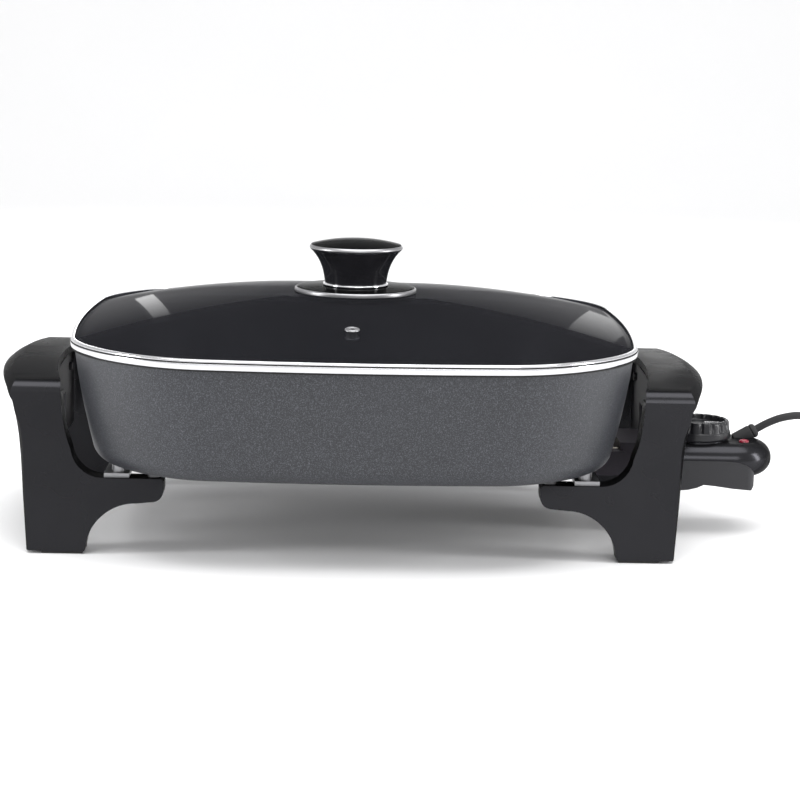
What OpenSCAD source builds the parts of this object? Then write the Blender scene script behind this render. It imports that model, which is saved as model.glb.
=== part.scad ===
// Electric skillet: a square cast pan on two handle-and-leg mouldings, a domed
// glass lid that lifts off, and a plug-in temperature controller with its cord.
// X runs to the controller, Y to the back, Z up. The table is at Z = 0.

/* [Pan] */
// Length of the rim outline, from the left bow to the right bow
rim_l = 310; // [290:1:330]
// Width of the rim outline, from the front bow to the back bow
rim_w = 310; // [290:1:330]
// Corner radius of the rim outline
rim_r = 70; // [60:1:80]
// How far the middle of each side bows out
rim_bow = 12; // [6:1:15]
// Height of the pan's rim above the table
rim_z = 109; // [102:1:120]
// Height of the pan from its underside to its rim
pan_h = 61.5; // [55:0.5:66]
// Thickness of the pan's wall
pan_wall = 3.5; // [3:0.25:4.5]
// Thickness of the pan's base
pan_base = 5; // [4.5:0.25:7]
// How far the foot of the wall lies inside the rim
pan_taper = 12.2; // [9:0.1:15]
// Radius where the wall meets the base
pan_foot_r = 12; // [9:0.5:15]
// How far the pan's wall stands inside the lid band
rim_inset = 2.5; // [1.5:0.25:3]

/* [Lid] */
// Height of the steel band round the glass
band_h = 5.4; // [5.2:0.1:7]
// Thickness of the band's steel
band_t = 0.9; // [0.7:0.1:1]
// Width of the band's upper lip over the glass
band_lip = 2.4; // [2.2:0.1:6]
// Thickness of the glass
glass_t = 3.2; // [2.8:0.1:3.4]
// Rise of the glass from the band to its flat middle
dome_h = 17.9; // [14:0.1:26]
// Distance of the steam vent in front of the lid's middle
vent_y = 102.5; // [70:0.5:106]
// How far the steam vent stands to the left of the middle line
vent_off = 1.6; // [0:0.1:4]
// Radius of the steam vent's eyelet
vent_r = 4.6; // [3.5:0.1:6]

/* [Knob] */
// Radius of the disc under the knob
disc_r = 34.2; // [28:0.2:36]
// Thickness of the disc under the knob
disc_t = 3.7; // [3:0.1:5]
// Radius of the chromed collar
collar_r = 18.4; // [16:0.2:20]
// Height of the chromed collar
collar_h = 1.7; // [1.4:0.1:3]
// Height of the flared knob body
knob_h = 18.3; // [15:0.1:22]
// Radius of the ring at the knob's top
knob_ring_r = 26.2; // [23:0.2:28]
// Height of the ring at the knob's top
knob_ring_h = 3; // [2.5:0.1:4]
// Radius of the knob's screw
knob_screw_r = 2.5; // [2:0.1:3]

/* [Handles] */
// Distance from the rim's outermost point to the outermost point of a handle
handle_out = 43; // [38:1:50]
// Height of a handle's top below the rim
handle_drop = 15.5; // [10:0.5:20]
// Radius of a handle's outer face, seen from above
handle_plan_r = 244; // [225:1:265]
// How far the top of a handle flares out over its leg
handle_flare = 5.5; // [2:0.5:6]
// Radius of the handle's rounded outer top edge
handle_edge_r = 12; // [8:0.5:14]
// Gap between a handle and the lid band at the bow
handle_gap = 9; // [7:0.5:12]
// Wall of the handle moulding
handle_wall = 4; // [3:0.25:5]
// Half the spread of the legs, front to back, at the table
leg_half_y = 97; // [92:1:102]
// Half the spread of the legs at the handle's top
top_half_y = 82; // [76:1:88]
// Thickness of the front and back plates of a handle
plate_t = 14; // [11:0.5:16]
// Distance from the rim's outermost point in to the inner side of a leg
leg_inset = 13; // [10:1:17]
// Radius of the arch between a leg and its arm
leg_arch_r = 27; // [24:0.5:29]
// Distance from the rim's outermost point in to the tip of an arm
arm_inset = 54.5; // [54:0.5:58]
// Depth of an arm below the handle bars
arm_h = 13; // [12:0.25:15]
// Radius of the scoop where an arm turns up to its handle
scoop_r = 17.5; // [15:0.5:19]
// Height of the opening under a handle
bay_h = 67; // [66:0.5:70]
// Half the width of the opening under a handle
bay_half_y = 74; // [68:1:77]
// Radius of the upper corners of the opening under a handle
bay_r = 27; // [20:1:32]
// Radius of a handle's front and back top edges
handle_top_r = 7; // [4:0.5:10]
// Thickness of the rubber feet
foot_t = 1.6; // [1.2:0.1:2.5]

/* [Supports] */
// Gap between an arm and the pan's underside
standoff_h = 7.3; // [6:0.1:8.5]
// Thickness of the steel support bars
bar_t = 2.4; // [1.5:0.1:3]
// Radius of the standoff sleeves
sleeve_r = 3.6; // [3.2:0.1:4.5]
// Radius of the handle screws
screw_r = 2; // [1.6:0.1:2.4]
// Distance from the rim's outermost point in to the inner screws
screw_in_inset = 49; // [47:0.5:50]
// Distance from the rim's outermost point in to the outer screws
screw_out_inset = 30; // [28:0.5:32]

/* [Heater] */
// Diameter of the heating element's sheath
element_d = 6.6; // [6:0.1:7]
// Distance from the rim's end in to the heating element's loop
element_inset_l = 67; // [63:1:75]
// Distance from the rim's side in to the heating element's loop
element_inset_w = 83; // [79:1:91]
// Spacing of the two terminal pins
pin_spacing = 28; // [26:0.5:32]
// Radius of a terminal pin
pin_r = 2.4; // [2:0.1:2.8]

/* [Controller] */
// Distance from the rim's outermost point to the controller's far end
ctrl_out = 83.5; // [80:0.5:90]
// Half the width of the controller's housing
ctrl_half_w = 24; // [22:0.5:26]
// Height of the controller's housing
ctrl_h = 19.6; // [18:0.2:21]
// Wall of the controller's housing
ctrl_wall = 2.2; // [1.8:0.1:2.8]
// Radius of the dial
dial_r = 18.8; // [17:0.1:19.4]
// Height of the dial
dial_h = 10.6; // [8.6:0.2:11.2]
// Distance from the rim's outermost point to the dial's axis
dial_out = 41; // [39.5:0.5:43]
// Diameter of the probe
probe_d = 6; // [5:0.1:6.4]
// Length of the probe beyond the controller's nose
probe_l = 54; // [46:1:56]
// Running clearance round the dial's shaft
dial_fit = 0.05; // [0.02:0.01:0.1]

/* [Cord] */
// Diameter of the cord
cord_d = 4.4; // [4.2:0.1:4.5]
// Length of the plug's moulded body
plug_l = 28; // [24:0.5:34]
// Width of the plug's moulded body
plug_w = 22; // [20:0.5:24]

/* [Hidden] */
$fn = 64;

// Everything along X is placed from the rim's outermost point
half_l = rim_l / 2;
half_w = rim_w / 2;
handle_reach = half_l + handle_out;
leg_in = half_l - leg_inset;
arm_tip = half_l - arm_inset;
screw_in_x = half_l - screw_in_inset;
screw_out_x = half_l - screw_out_inset;
element_half_l = half_l - element_inset_l;
element_half_w = half_w - element_inset_w;
ctrl_reach = half_l + ctrl_out;
dial_x = half_l + dial_out;

// The frame's X origin is midway between the left handle and the controller's end
frame_x = (handle_reach - ctrl_reach) / 2;

// Heights
base_z = rim_z - pan_h;
floor_z = base_z + pan_base;
arm_z = base_z - standoff_h;
handle_z = rim_z - handle_drop;
element_z = base_z - element_d / 2;
ctrl_mid = base_z - 6.2;
ctrl_z1 = ctrl_mid + ctrl_h / 2;
ctrl_z0 = ctrl_mid - ctrl_h / 2;

// Fits and gaps
slip = 0.3;
hair = 0.1;
screw_fit = 0.15;

// Rim outline: points along a rounded rectangle, its sides then bowed
corner_steps = 12;
side_steps = 6;
outline_n = 4 * (corner_steps + side_steps);

function between(a, b, t) = a + (b - a) * t;
function corner(q, k) = let (
    sx = (q == 0 || q == 3) ? 1 : -1,
    sy = (q < 2) ? 1 : -1,
    a = 90 * q + 90 * k / corner_steps)
    [sx * (half_l - rim_r) + rim_r * cos(a), sy * (half_w - rim_r) + rim_r * sin(a)];
function bowed(p) = [p.x * (1 - rim_bow / half_l * pow(p.y / half_w, 2)),
    p.y * (1 - rim_bow / half_w * pow(p.x / half_l, 2))];
outline = [for (q = [0:3]) each concat(
    [for (k = [0:corner_steps - 1]) bowed(corner(q, k))],
    [for (k = [0:side_steps - 1])
        bowed(between(corner(q, corner_steps), corner((q + 1) % 4, 0), k / side_steps))])];
normals = [for (i = [0:outline_n - 1]) let (
    t = outline[(i + 1) % outline_n] - outline[(i + outline_n - 1) % outline_n])
    [t.y, -t.x] / norm(t)];

// One closed row of points: the outline moved out by d, scaled by s, at height z
function row(d, z, s = 1) = [for (i = [0:outline_n - 1])
    [(outline[i].x + d * normals[i].x) * s, (outline[i].y + d * normals[i].y) * s, z]];

// Skin over rows of points that run anticlockwise round the way they advance
module skin(rows, ring = false) {
    n = len(rows[0]);
    m = len(rows);
    last = ring ? m - 1 : m - 2;
    sides = [for (i = [0:last], k = [0:n - 1]) let (
        a = i * n + k,
        b = i * n + (k + 1) % n,
        c = ((i + 1) % m) * n + (k + 1) % n,
        d = ((i + 1) % m) * n + k)
        each [[a, c, b], [a, d, c]]];
    caps = ring ? [] : [[for (k = [0:n - 1]) k], [for (k = [n - 1:-1:0]) (m - 1) * n + k]];
    polyhedron(points = [for (r = rows) each r], faces = concat(sides, caps), convexity = 6);
}

// Tube along a path of points, its rings square to the path
function unit(v) = v / norm(v);
function heading(path, i) =
    unit(path[min(i + 1, len(path) - 1)] - path[max(i - 1, 0)]);
function hoop(c, t, r, sides) = let (
    n = unit(cross([0, 0, 1], t)),
    b = cross(t, n))
    [for (k = [0:sides - 1]) c + r * (cos(360 * k / sides) * n + sin(360 * k / sides) * b)];
module tube(path, r, sides) {
    skin([for (i = [0:len(path) - 1]) hoop(path[i], heading(path, i), r, sides)]);
}

function arc(c, r, a, b, n) = [for (k = [0:n])
    [c.x + r * cos(between(a, b, k / n)), c.y + r * sin(between(a, b, k / n))]];

module in_frame() {
    translate([frame_x, 0, 0])
        children();
}

module mirror_x() {
    children();
    mirror([1, 0, 0])
        children();
}

module mirror_y() {
    children();
    mirror([0, 1, 0])
        children();
}

// Flat shapes drawn in X and Z, spread along Y over a span centred on the middle
module along_y(w) {
    translate([0, w / 2, 0])
        rotate([90, 0, 0])
            linear_extrude(w)
                children();
}

// Flat shapes drawn in Y and Z, spread along X from x0 to x1
module along_x(x0, x1) {
    translate([x0, 0, 0])
        rotate([90, 0, 90])
            linear_extrude(x1 - x0)
                children();
}

module rod_x(x0, x1, y, z, r) {
    translate([x0, y, z])
        rotate([0, 90, 0])
            cylinder(r = r, h = x1 - x0);
}

module rod_z(p, z0, z1, r) {
    translate([p.x, p.y, z0])
        cylinder(r = r, h = z1 - z0);
}

// ---- Pan ----

wall_power = 1.35;
wall_lean = 15;
function wall_in(z) = -rim_inset - pan_taper * pow((rim_z - z) / pan_h, wall_power);
wall_foot_z = base_z + pan_foot_r * (1 - sin(wall_lean));
wall_rows = 7;
foot_rows = 6;
inner_r = pan_foot_r - 2;
inner_foot_z = floor_z + inner_r * (1 - sin(wall_lean));

function foot_row(z0, r, start, a) = row(
    start - r * (cos(wall_lean) - cos(a)), z0 + r - r * sin(a));

pan_rows = concat(
    [for (k = [0:foot_rows - 1])
        foot_row(base_z, pan_foot_r, wall_in(wall_foot_z), between(90, wall_lean, k / foot_rows))],
    [for (k = [0:wall_rows - 1]) let (z = between(wall_foot_z, rim_z - 1, k / wall_rows))
        row(wall_in(z), z)],
    [row(wall_in(rim_z - 1), rim_z - 1), row(wall_in(rim_z) - 0.6, rim_z),
        row(wall_in(rim_z) - pan_wall + 0.6, rim_z),
        row(wall_in(rim_z - 1) - pan_wall, rim_z - 1)],
    [for (k = [wall_rows - 1:-1:1])
        let (z = between(inner_foot_z, rim_z - 1, k / wall_rows))
        row(wall_in(z) - pan_wall, z)],
    [for (k = [foot_rows:-1:0]) foot_row(floor_z, inner_r,
        wall_in(inner_foot_z) - pan_wall, between(90, wall_lean, k / foot_rows))]);

screw_depth = 4;
arm_lean = (leg_half_y - top_half_y) / handle_z;
arm_y = leg_half_y - plate_t / 2 - arm_z * arm_lean - 1;
screw_places = [for (x = [screw_in_x, screw_out_x], sx = [-1, 1], sy = [-1, 1])
    [sx * x, sy * arm_y]];
guard_screw_y = 23;
guard_screw_x = half_l - 27;
guard_screw_r = 1.5;
guard_screw_depth = 3.5;

module pan() {
    color("dimgray")
        difference() {
            skin(pan_rows);
            for (p = screw_places)
                rod_z(p, base_z - 1, base_z + screw_depth, screw_r + screw_fit);
            mirror_y()
                rod_z([guard_screw_x, guard_screw_y], base_z - 1, base_z + guard_screw_depth,
                    guard_screw_r + screw_fit);
        }
}

// ---- Heater under the pan ----

pin_y = pin_spacing / 2;
element_bend = 14;
lead_bend = 12;
pan_edge_x = half_l - rim_inset - pan_taper;
guard_x0 = pan_edge_x + 9.5;
guard_l = 15;
guard_x1 = guard_x0 + guard_l;
guard_t = 2.4;
nose_half_y = pin_y + 5;
nose_z0 = ctrl_z0 + ctrl_wall + 1.5;
nose_z1 = ctrl_z1 - ctrl_wall - 0.5;
guard_half_y = nose_half_y + 1 + guard_t;
guard_z0 = nose_z0 - 1 - guard_t;
guard_z1 = nose_z1 + 1 + guard_t;
pin_x0 = element_half_l + 30;
pin_x1 = guard_x1 - 1;

module bend(c, r, a0, sweep) {
    translate([c.x, c.y, element_z])
        rotate([0, 0, a0])
            rotate_extrude(angle = sweep)
                translate([r, 0])
                    circle(d = element_d);
}

// Straight run of sheath between two points
module run(p, q) {
    translate([p.x, p.y, element_z])
        rotate([0, 0, atan2(q.y - p.y, q.x - p.x)])
            rotate([0, 90, 0])
                cylinder(d = element_d, h = norm(q - p));
}

module heating_element() {
    color("darkslategray")
        mirror_y() {
            run([-element_half_l + element_bend, element_half_w],
                [element_half_l - element_bend, element_half_w]);
            bend([-element_half_l + element_bend, element_half_w - element_bend],
                element_bend, 90, 90);
            run([-element_half_l, 0], [-element_half_l, element_half_w - element_bend]);
            bend([element_half_l - element_bend, element_half_w - element_bend],
                element_bend, 0, 90);
            run([element_half_l, pin_y + lead_bend],
                [element_half_l, element_half_w - element_bend]);
            bend([element_half_l + lead_bend, pin_y + lead_bend], lead_bend, 180, 90);
            run([element_half_l + lead_bend, pin_y], [pin_x0, pin_y]);
        }
}

clamp_t = 1.2;
clamp_w = 12;
clamp_wing = 8;
clamp_places = [-50, 50];

// Strap over the sheath, its two wings flat on the pan's base
module clamp_shape() {
    half = element_d / 2 + 0.2;
    difference() {
        union() {
            translate([-half - clamp_wing, base_z - clamp_t])
                square([2 * (half + clamp_wing), clamp_t]);
            translate([0, element_z])
                circle(r = half + clamp_t);
            translate([-half - clamp_t, element_z])
                square([2 * (half + clamp_t), base_z - element_z]);
        }
        translate([0, element_z])
            circle(r = half);
        translate([-half, element_z])
            square([2 * half, element_d]);
        translate([-2 * half, base_z])
            square([4 * half, element_d]);
    }
}

module element_clamps() {
    color("silver")
        mirror_y()
            for (x = clamp_places)
                difference() {
                    translate([0, element_half_w, 0])
                        along_x(x - clamp_w / 2, x + clamp_w / 2)
                            clamp_shape();
                    for (s = [-1, 1])
                        rod_z([x, element_half_w + s * rivet_off], base_z - 2 * clamp_t,
                            base_z + 1, rivet_r);
                }
}

rivet_r = 1.5;
rivet_off = element_d / 2 + clamp_wing / 2 + 0.8;
rivet_head_r = 2.6;
rivet_head_h = 1;

module clamp_rivets() {
    color("gainsboro")
        mirror_y()
            for (x = clamp_places, s = [-1, 1]) {
                rod_z([x, element_half_w + s * rivet_off], base_z - clamp_t, base_z, rivet_r);
                rod_z([x, element_half_w + s * rivet_off], base_z - clamp_t - rivet_head_h,
                    base_z - clamp_t, rivet_head_r);
            }
}

module terminal_pins() {
    color("silver")
        mirror_y() {
            rod_x(pin_x0, pin_x1 - 1.5, pin_y, element_z, pin_r);
            translate([pin_x1 - 1.5, pin_y, element_z])
                rotate([0, 90, 0])
                    rotate_extrude()
                        polygon([[0, 0], [pin_r, 0], [pin_r - 1.2, 1.5], [0, 1.5]]);
        }
}

insulator_r = element_d / 2;
insulator_x1 = guard_x0 + guard_t + 2;

module pin_insulators() {
    color("ivory")
        mirror_y()
            difference() {
                rod_x(pin_x0 + hair, insulator_x1, pin_y, element_z, insulator_r);
                rod_x(pin_x0, insulator_x1 + 1, pin_y, element_z, pin_r + hair / 2);
            }
}

probe_z = base_z - 6;
well_half_y = 6;
well_h = 11.5;
nose_x0 = guard_x0 + guard_t + 1.2;
probe_x0 = nose_x0 - probe_l;
well_x0 = probe_x0 - 4;
well_x1 = pan_edge_x - pan_foot_r;

// Open box that takes the controller's nose, with two tabs under the pan
module terminal_guard() {
    tab_y = guard_half_y - 5;
    color([0.16, 0.15, 0.17])
        difference() {
            union() {
                mirror_y()
                    translate([guard_screw_x - 5, tab_y + 9.6 - guard_t, guard_z0 + 2])
                        cube([guard_x0 - guard_screw_x + 5 + guard_t, guard_t,
                            base_z - guard_z0 - 2]);
                mirror_y()
                    translate([guard_x0, guard_half_y - 1, guard_z0 + 2])
                        cube([guard_t, 5.6, base_z - guard_z0 - 2]);
                along_x(guard_x0, guard_x1)
                    translate([-guard_half_y, guard_z0])
                        square([2 * guard_half_y, guard_z1 - guard_z0]);
                mirror_y()
                    translate([guard_screw_x - 5, tab_y, base_z - guard_t])
                        cube([guard_x0 - guard_screw_x + 6, 9.6, guard_t]);
            }
            along_x(guard_x0 + guard_t, guard_x1 + 1)
                translate([-guard_half_y + guard_t, guard_z0 + guard_t])
                    square([2 * (guard_half_y - guard_t), guard_z1 - guard_z0 - 2 * guard_t]);
            mirror_y()
                rod_x(guard_x0 - 1, guard_x0 + guard_t + 1, pin_y, element_z,
                    insulator_r + hair / 2);
            rod_x(guard_x0 - 1, guard_x0 + guard_t + 1, 0, probe_z, probe_d / 2 + 1);
            mirror_y()
                rod_z([guard_screw_x, guard_screw_y], base_z - guard_t - 1, base_z + 1,
                    guard_screw_r + screw_fit);
            // a groove down the inner side of the walls clears the screws' heads and a driver
            mirror_y()
                rod_z([guard_screw_x, guard_screw_y], guard_z0 - 1, base_z - guard_t,
                    guard_screw_r * 1.9 + 0.35);
        }
}

module guard_screws() {
    color("silver")
        mirror_y() {
            rod_z([guard_screw_x, guard_screw_y], base_z - guard_t - 0.5,
                base_z + guard_screw_depth - 0.5, guard_screw_r);
            rod_z([guard_screw_x, guard_screw_y], base_z - guard_t - 1.8, base_z - guard_t,
                guard_screw_r * 1.9);
        }
}

module probe_well() {
    color("dimgray")
        difference() {
            translate([well_x0, -well_half_y, base_z - well_h])
                cube([well_x1 - well_x0, 2 * well_half_y, well_h]);
            rod_x(well_x0 + 3, well_x1 + 1, 0, probe_z, probe_d / 2 + slip);
        }
}

// ---- Handles, legs and supports ----

handle_axis_x = handle_reach - handle_plan_r;
handle_inner_r = 420;
handle_inner_x = half_l + handle_gap;
edge_x = handle_inner_x - 8;
scoop_x = edge_x - scoop_r - 5.5;
top_sag = 3;
block_x0 = arm_tip - 10.5;
block_x1 = handle_reach + 20;
leg_flare_z = handle_z - 33.5;

// Outer face of a handle as radius and height from its plan axis, moved in by t
function face_points(t) = concat(
    [[handle_plan_r - handle_flare - t, -1], [handle_plan_r - handle_flare - t, leg_flare_z],
        [handle_plan_r - handle_flare * 0.84 - t, leg_flare_z + 7],
        [handle_plan_r - handle_flare * 0.44 - t, leg_flare_z + 14],
        [handle_plan_r - handle_flare * 0.16 - t, leg_flare_z + 19]],
    arc([handle_plan_r - handle_edge_r, handle_z - handle_edge_r], handle_edge_r - t, 0, 90, 8));

module face_solid(t) {
    translate([handle_axis_x, 0, 0])
        rotate([0, 0, -35])
            rotate_extrude(angle = 70, $fn = 180)
                polygon(concat([[block_x0 - handle_axis_x - 30, -1]], face_points(t),
                    [[block_x0 - handle_axis_x - 30, handle_z - t]]));
}

// Flatter outer face of the legs, which opens out under the handle's rim
leg_plan_r = 700;
leg_axis_x = handle_reach - 18.8 - leg_plan_r;
leg_face = [[0, -1], [1.8, leg_flare_z * 0.48], [3, leg_flare_z * 0.85], [4, leg_flare_z + 1],
    [5.6, leg_flare_z + 12], [7.4, leg_flare_z + 20], [10.8, leg_flare_z + 26],
    [20.8, handle_z], [31, handle_z + 7]];

module leg_solid(t) {
    translate([leg_axis_x, 0, 0])
        rotate([0, 0, -20])
            rotate_extrude(angle = 40, $fn = 360)
                polygon(concat([[block_x0 - leg_axis_x - 40, -1]],
                    [for (p = leg_face) [leg_plan_r + p.x - t, p.y]],
                    [[block_x0 - leg_axis_x - 40, handle_z + 7]]));
}

module outer_solid(t) {
    intersection() {
        face_solid(t);
        leg_solid(t);
    }
}

// Centre of the rounded corner between a leaning leg and the arched top
top_r = (top_half_y * top_half_y + top_sag * top_sag) / (2 * top_sag);
top_corner = let (
    w = norm([1, arm_lean]),
    a = leg_half_y - handle_top_r * w,
    k = handle_z - top_r,
    b = a * arm_lean + k,
    z = (b + sqrt(b * b - w * w * (a * a + k * k - pow(top_r - handle_top_r, 2)))) / (w * w))
    [a - arm_lean * z, z];
lean_a = atan(arm_lean);
top_a = atan2(top_corner.y - handle_z + top_r, top_corner.x);

// A handle from the side: legs that lean in, under a gently arched top
module side_shape(t) {
    intersection() {
        if (t == 0)
            polygon(concat([[-leg_half_y, 0], [leg_half_y, 0]],
                arc(top_corner, handle_top_r, lean_a, top_a, 6), [[0, handle_z + 5]],
                arc([-top_corner.x, top_corner.y], handle_top_r, 180 - top_a, 180 - lean_a, 6)));
        else
            polygon([[-leg_half_y + t, 0], [leg_half_y - t, 0],
                [leg_half_y - t - arm_lean * (handle_z + 5), handle_z + 5],
                [-leg_half_y + t + arm_lean * (handle_z + 5), handle_z + 5]]);
        translate([0, handle_z - top_r])
            circle(r = top_r - min(t, handle_wall), $fn = 720);
    }
}

// A handle from the front: leg, arm and the scooped edge beside the pan
module front_shape() {
    tip_r = 6;
    arch_x = leg_in - leg_arch_r;
    arm_low = arm_z - arm_h;
    difference() {
        polygon(concat(
            [[arch_x, foot_t], [block_x1, foot_t], [block_x1, handle_z + 5],
                [edge_x + 1, handle_z + 5], [edge_x, arm_z + 44], [edge_x - 0.6, arm_z + 36],
                [edge_x - 1.7, arm_z + 28], [edge_x - 3.2, arm_z + 21.8]],
            arc([scoop_x, arm_z + scoop_r], scoop_r, -8, -90, 7),
            [[arm_tip + 1.5, arm_z], [arm_tip, arm_z - 1.5]],
            arc([arm_tip + tip_r, arm_low + tip_r + 0.8], tip_r, 180, 262, 5),
            [[arch_x, arm_low]]));
        translate([arch_x, arm_low - leg_arch_r])
            circle(r = leg_arch_r);
        translate([arch_x - leg_arch_r, 0])
            square([2 * leg_arch_r, max(1, arm_low - leg_arch_r)]);
    }
}

// Opening through the outer face, between the legs
module bay_shape() {
    low = leg_half_y - plate_t + 1;
    polygon(concat([[-low, -1], [low, -1]],
        arc([bay_half_y - bay_r, bay_h - bay_r], bay_r, 0, 90, 8),
        arc([-bay_half_y + bay_r, bay_h - bay_r], bay_r, 90, 180, 8)));
}

handle_screw_head_r = screw_r * 1.9;
head_seat = 4;
shield_x = handle_inner_x + 1.5;
shield_t = 1;
shield_half_y = 66;
shield_z0 = arm_z + 2;
shield_z1 = handle_z - handle_wall - top_sag;
shield_screw_y = 46;
shield_screw_z = handle_z - 15;
shield_boss_r = 4;

module handle_moulding() {
    difference() {
        union() {
            difference() {
                intersection() {
                    outer_solid(0);
                    along_x(block_x0, block_x1)
                        side_shape(0);
                    along_y(2 * leg_half_y + 10)
                        front_shape();
                }
                translate([handle_inner_x - handle_inner_r, 0,
                    handle_z - handle_wall - top_sag - 2])
                    cylinder(r = handle_inner_r, h = handle_z, $fn = 360);
                intersection() {
                    outer_solid(handle_wall);
                    along_x(block_x0 - 5, block_x1)
                        side_shape(plate_t);
                }
                along_x(block_x0 + 40, block_x1)
                    bay_shape();
            }
            mirror_y()
                intersection() {
                    rod_x(shield_x + shield_t, block_x1, shield_screw_y, shield_screw_z,
                        shield_boss_r);
                    outer_solid(handle_wall - 1);
                }
        }
        mirror_y() {
            rod_x(shield_x - 1, shield_x + 12, shield_screw_y, shield_screw_z,
                1.2 + screw_fit);
            for (x = [screw_in_x, screw_out_x]) {
                rod_z([x, arm_y], 0, arm_z + 1, screw_r + screw_fit);
                rod_z([x, arm_y], 0, arm_z - arm_h + head_seat, handle_screw_head_r + 0.3);
            }
        }
    }
}

module left_handle() {
    color([0.12, 0.12, 0.13])
        mirror([1, 0, 0])
            handle_moulding();
}

module right_handle() {
    color([0.12, 0.12, 0.13])
        handle_moulding();
}

// Steel heat shield across the inner side of a handle, notched over the opening
module shield_sheet() {
    notch_half_y = guard_half_y + 3;
    difference() {
        along_x(shield_x, shield_x + shield_t)
            difference() {
                translate([-shield_half_y, shield_z0])
                    square([2 * shield_half_y, shield_z1 - shield_z0]);
                translate([-notch_half_y, 0])
                    square([2 * notch_half_y, bay_h]);
            }
        mirror_y()
            rod_x(shield_x - 1, shield_x + 2, shield_screw_y, shield_screw_z,
                1.2 + screw_fit);
    }
}

module left_shield() {
    color([0.35, 0.35, 0.36])
        mirror([1, 0, 0])
            shield_sheet();
}

module right_shield() {
    color([0.35, 0.35, 0.36])
        shield_sheet();
}

module shield_screws() {
    color("silver")
        mirror_x()
            mirror_y() {
                rod_x(shield_x - 0.2, shield_x + 10, shield_screw_y, shield_screw_z, 1.2);
                rod_x(shield_x - 1.6, shield_x, shield_screw_y, shield_screw_z, 2.4);
            }
}

bar_x0 = screw_out_x - 6;
bar_x1 = min(screw_out_x + 12, scoop_x - 0.6);
bar_half_y = leg_half_y - arm_z * arm_lean - 2;

module support_bar() {
    difference() {
        translate([bar_x0, -bar_half_y, arm_z])
            cube([bar_x1 - bar_x0, 2 * bar_half_y, bar_t]);
        mirror_y()
            rod_z([screw_out_x, arm_y], arm_z - 1, arm_z + bar_t + 1, screw_r + screw_fit);
        translate([bar_x0 - 1, -guard_half_y - 6, arm_z - 1])
            cube([guard_x1 - bar_x0, 2 * guard_half_y + 12, bar_t + 2]);
    }
}

module left_support_bar() {
    color("silver")
        mirror([1, 0, 0])
            difference() {
                translate([bar_x0, -bar_half_y, arm_z])
                    cube([bar_x1 - bar_x0, 2 * bar_half_y, bar_t]);
                mirror_y()
                    rod_z([screw_out_x, arm_y], arm_z - 1, arm_z + bar_t + 1,
                        screw_r + screw_fit);
            }
}

module right_support_bar() {
    color("silver")
        support_bar();
}

module standoff_sleeves() {
    color("gainsboro")
        for (p = screw_places)
            difference() {
                rod_z(p, abs(p.x) > screw_in_x ? arm_z + bar_t : arm_z, base_z, sleeve_r);
                rod_z(p, arm_z - 1, base_z + 1, screw_r + screw_fit);
            }
}

module handle_screws() {
    color("silver")
        for (p = screw_places) {
            rod_z(p, arm_z - arm_h + head_seat - 0.5, base_z + screw_depth - 0.5, screw_r);
            rod_z(p, arm_z - arm_h + head_seat - 2.2, arm_z - arm_h + head_seat,
                handle_screw_head_r);
        }
}

foot_x0 = leg_in + 1;
foot_x1 = leg_in + 23;

module rubber_feet() {
    color([0.08, 0.08, 0.08])
        mirror_x()
            mirror_y()
                translate([foot_x0, leg_half_y - plate_t + 1.5, 0])
                    cube([foot_x1 - foot_x0, plate_t - 3, foot_t]);
}

// ---- Lid ----

band_z = rim_z + band_h;
skirt_in = rim_inset + pan_wall + 1.4;
skirt_h = 3.4;
band_rows = [
    row(-skirt_in - band_t, rim_z - skirt_h), row(-skirt_in, rim_z - skirt_h),
    row(-skirt_in, rim_z), row(-0.5, rim_z), row(0, rim_z + 0.8),
    row(0, band_z - 1.2), row(-1, band_z), row(-band_lip, band_z),
    row(-band_lip, band_z - band_t), row(-band_t, band_z - band_t),
    row(-band_t, rim_z + band_t), row(-skirt_in - band_t, rim_z + band_t)];

module lid_band() {
    color("gainsboro")
        skin(band_rows, ring = true);
}

glass_z = band_z - band_t - hair;
glass_in = band_t + slip;
flat_s = 0.98;
seat_s = (disc_r + 2) / (min(half_l, half_w) - rim_bow);
dome_power = 2;
dome_steps = 8;
seat_z = glass_z + dome_h;
function dome(s) = (1 - pow(s / flat_s, dome_power)) / (1 - pow(seat_s / flat_s, dome_power));
dome_scales = [for (k = [0:dome_steps]) between(flat_s, seat_s, k / dome_steps)];
glass_rows = concat(
    [for (k = [dome_steps:-1:0])
        row(-glass_in, glass_z - glass_t + dome_h * dome(dome_scales[k]), dome_scales[k])],
    [row(-glass_in - 0.8, glass_z - glass_t), row(-glass_in, glass_z - glass_t + 0.8),
        row(-glass_in, glass_z - 0.8), row(-glass_in - 0.8, glass_z)],
    [for (s = dome_scales) row(-glass_in, glass_z + dome_h * dome(s), s)]);

// Height of the glass's top over a point on the middle line, at distance y
function glass_top(y) = glass_z + dome_h * dome(y / (half_w - glass_in));
vent_z = glass_top(vent_y);
vent_lean = atan((glass_top(vent_y - 2) - glass_top(vent_y + 2)) / 4);
vent_hole_r = vent_r - 1.4;

module at_vent() {
    translate([-vent_off, -vent_y, vent_z])
        rotate([vent_lean, 0, 0])
            children();
}

module lid_glass() {
    color([0.35, 0.37, 0.4, 0.5])
        difference() {
            skin(glass_rows);
            rod_z([0, 0], seat_z - glass_t - 1, seat_z + 1, knob_screw_r + 1);
            at_vent()
                translate([0, 0, -glass_t - 2])
                    cylinder(r = vent_hole_r, h = glass_t + 4);
        }
}

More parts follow.
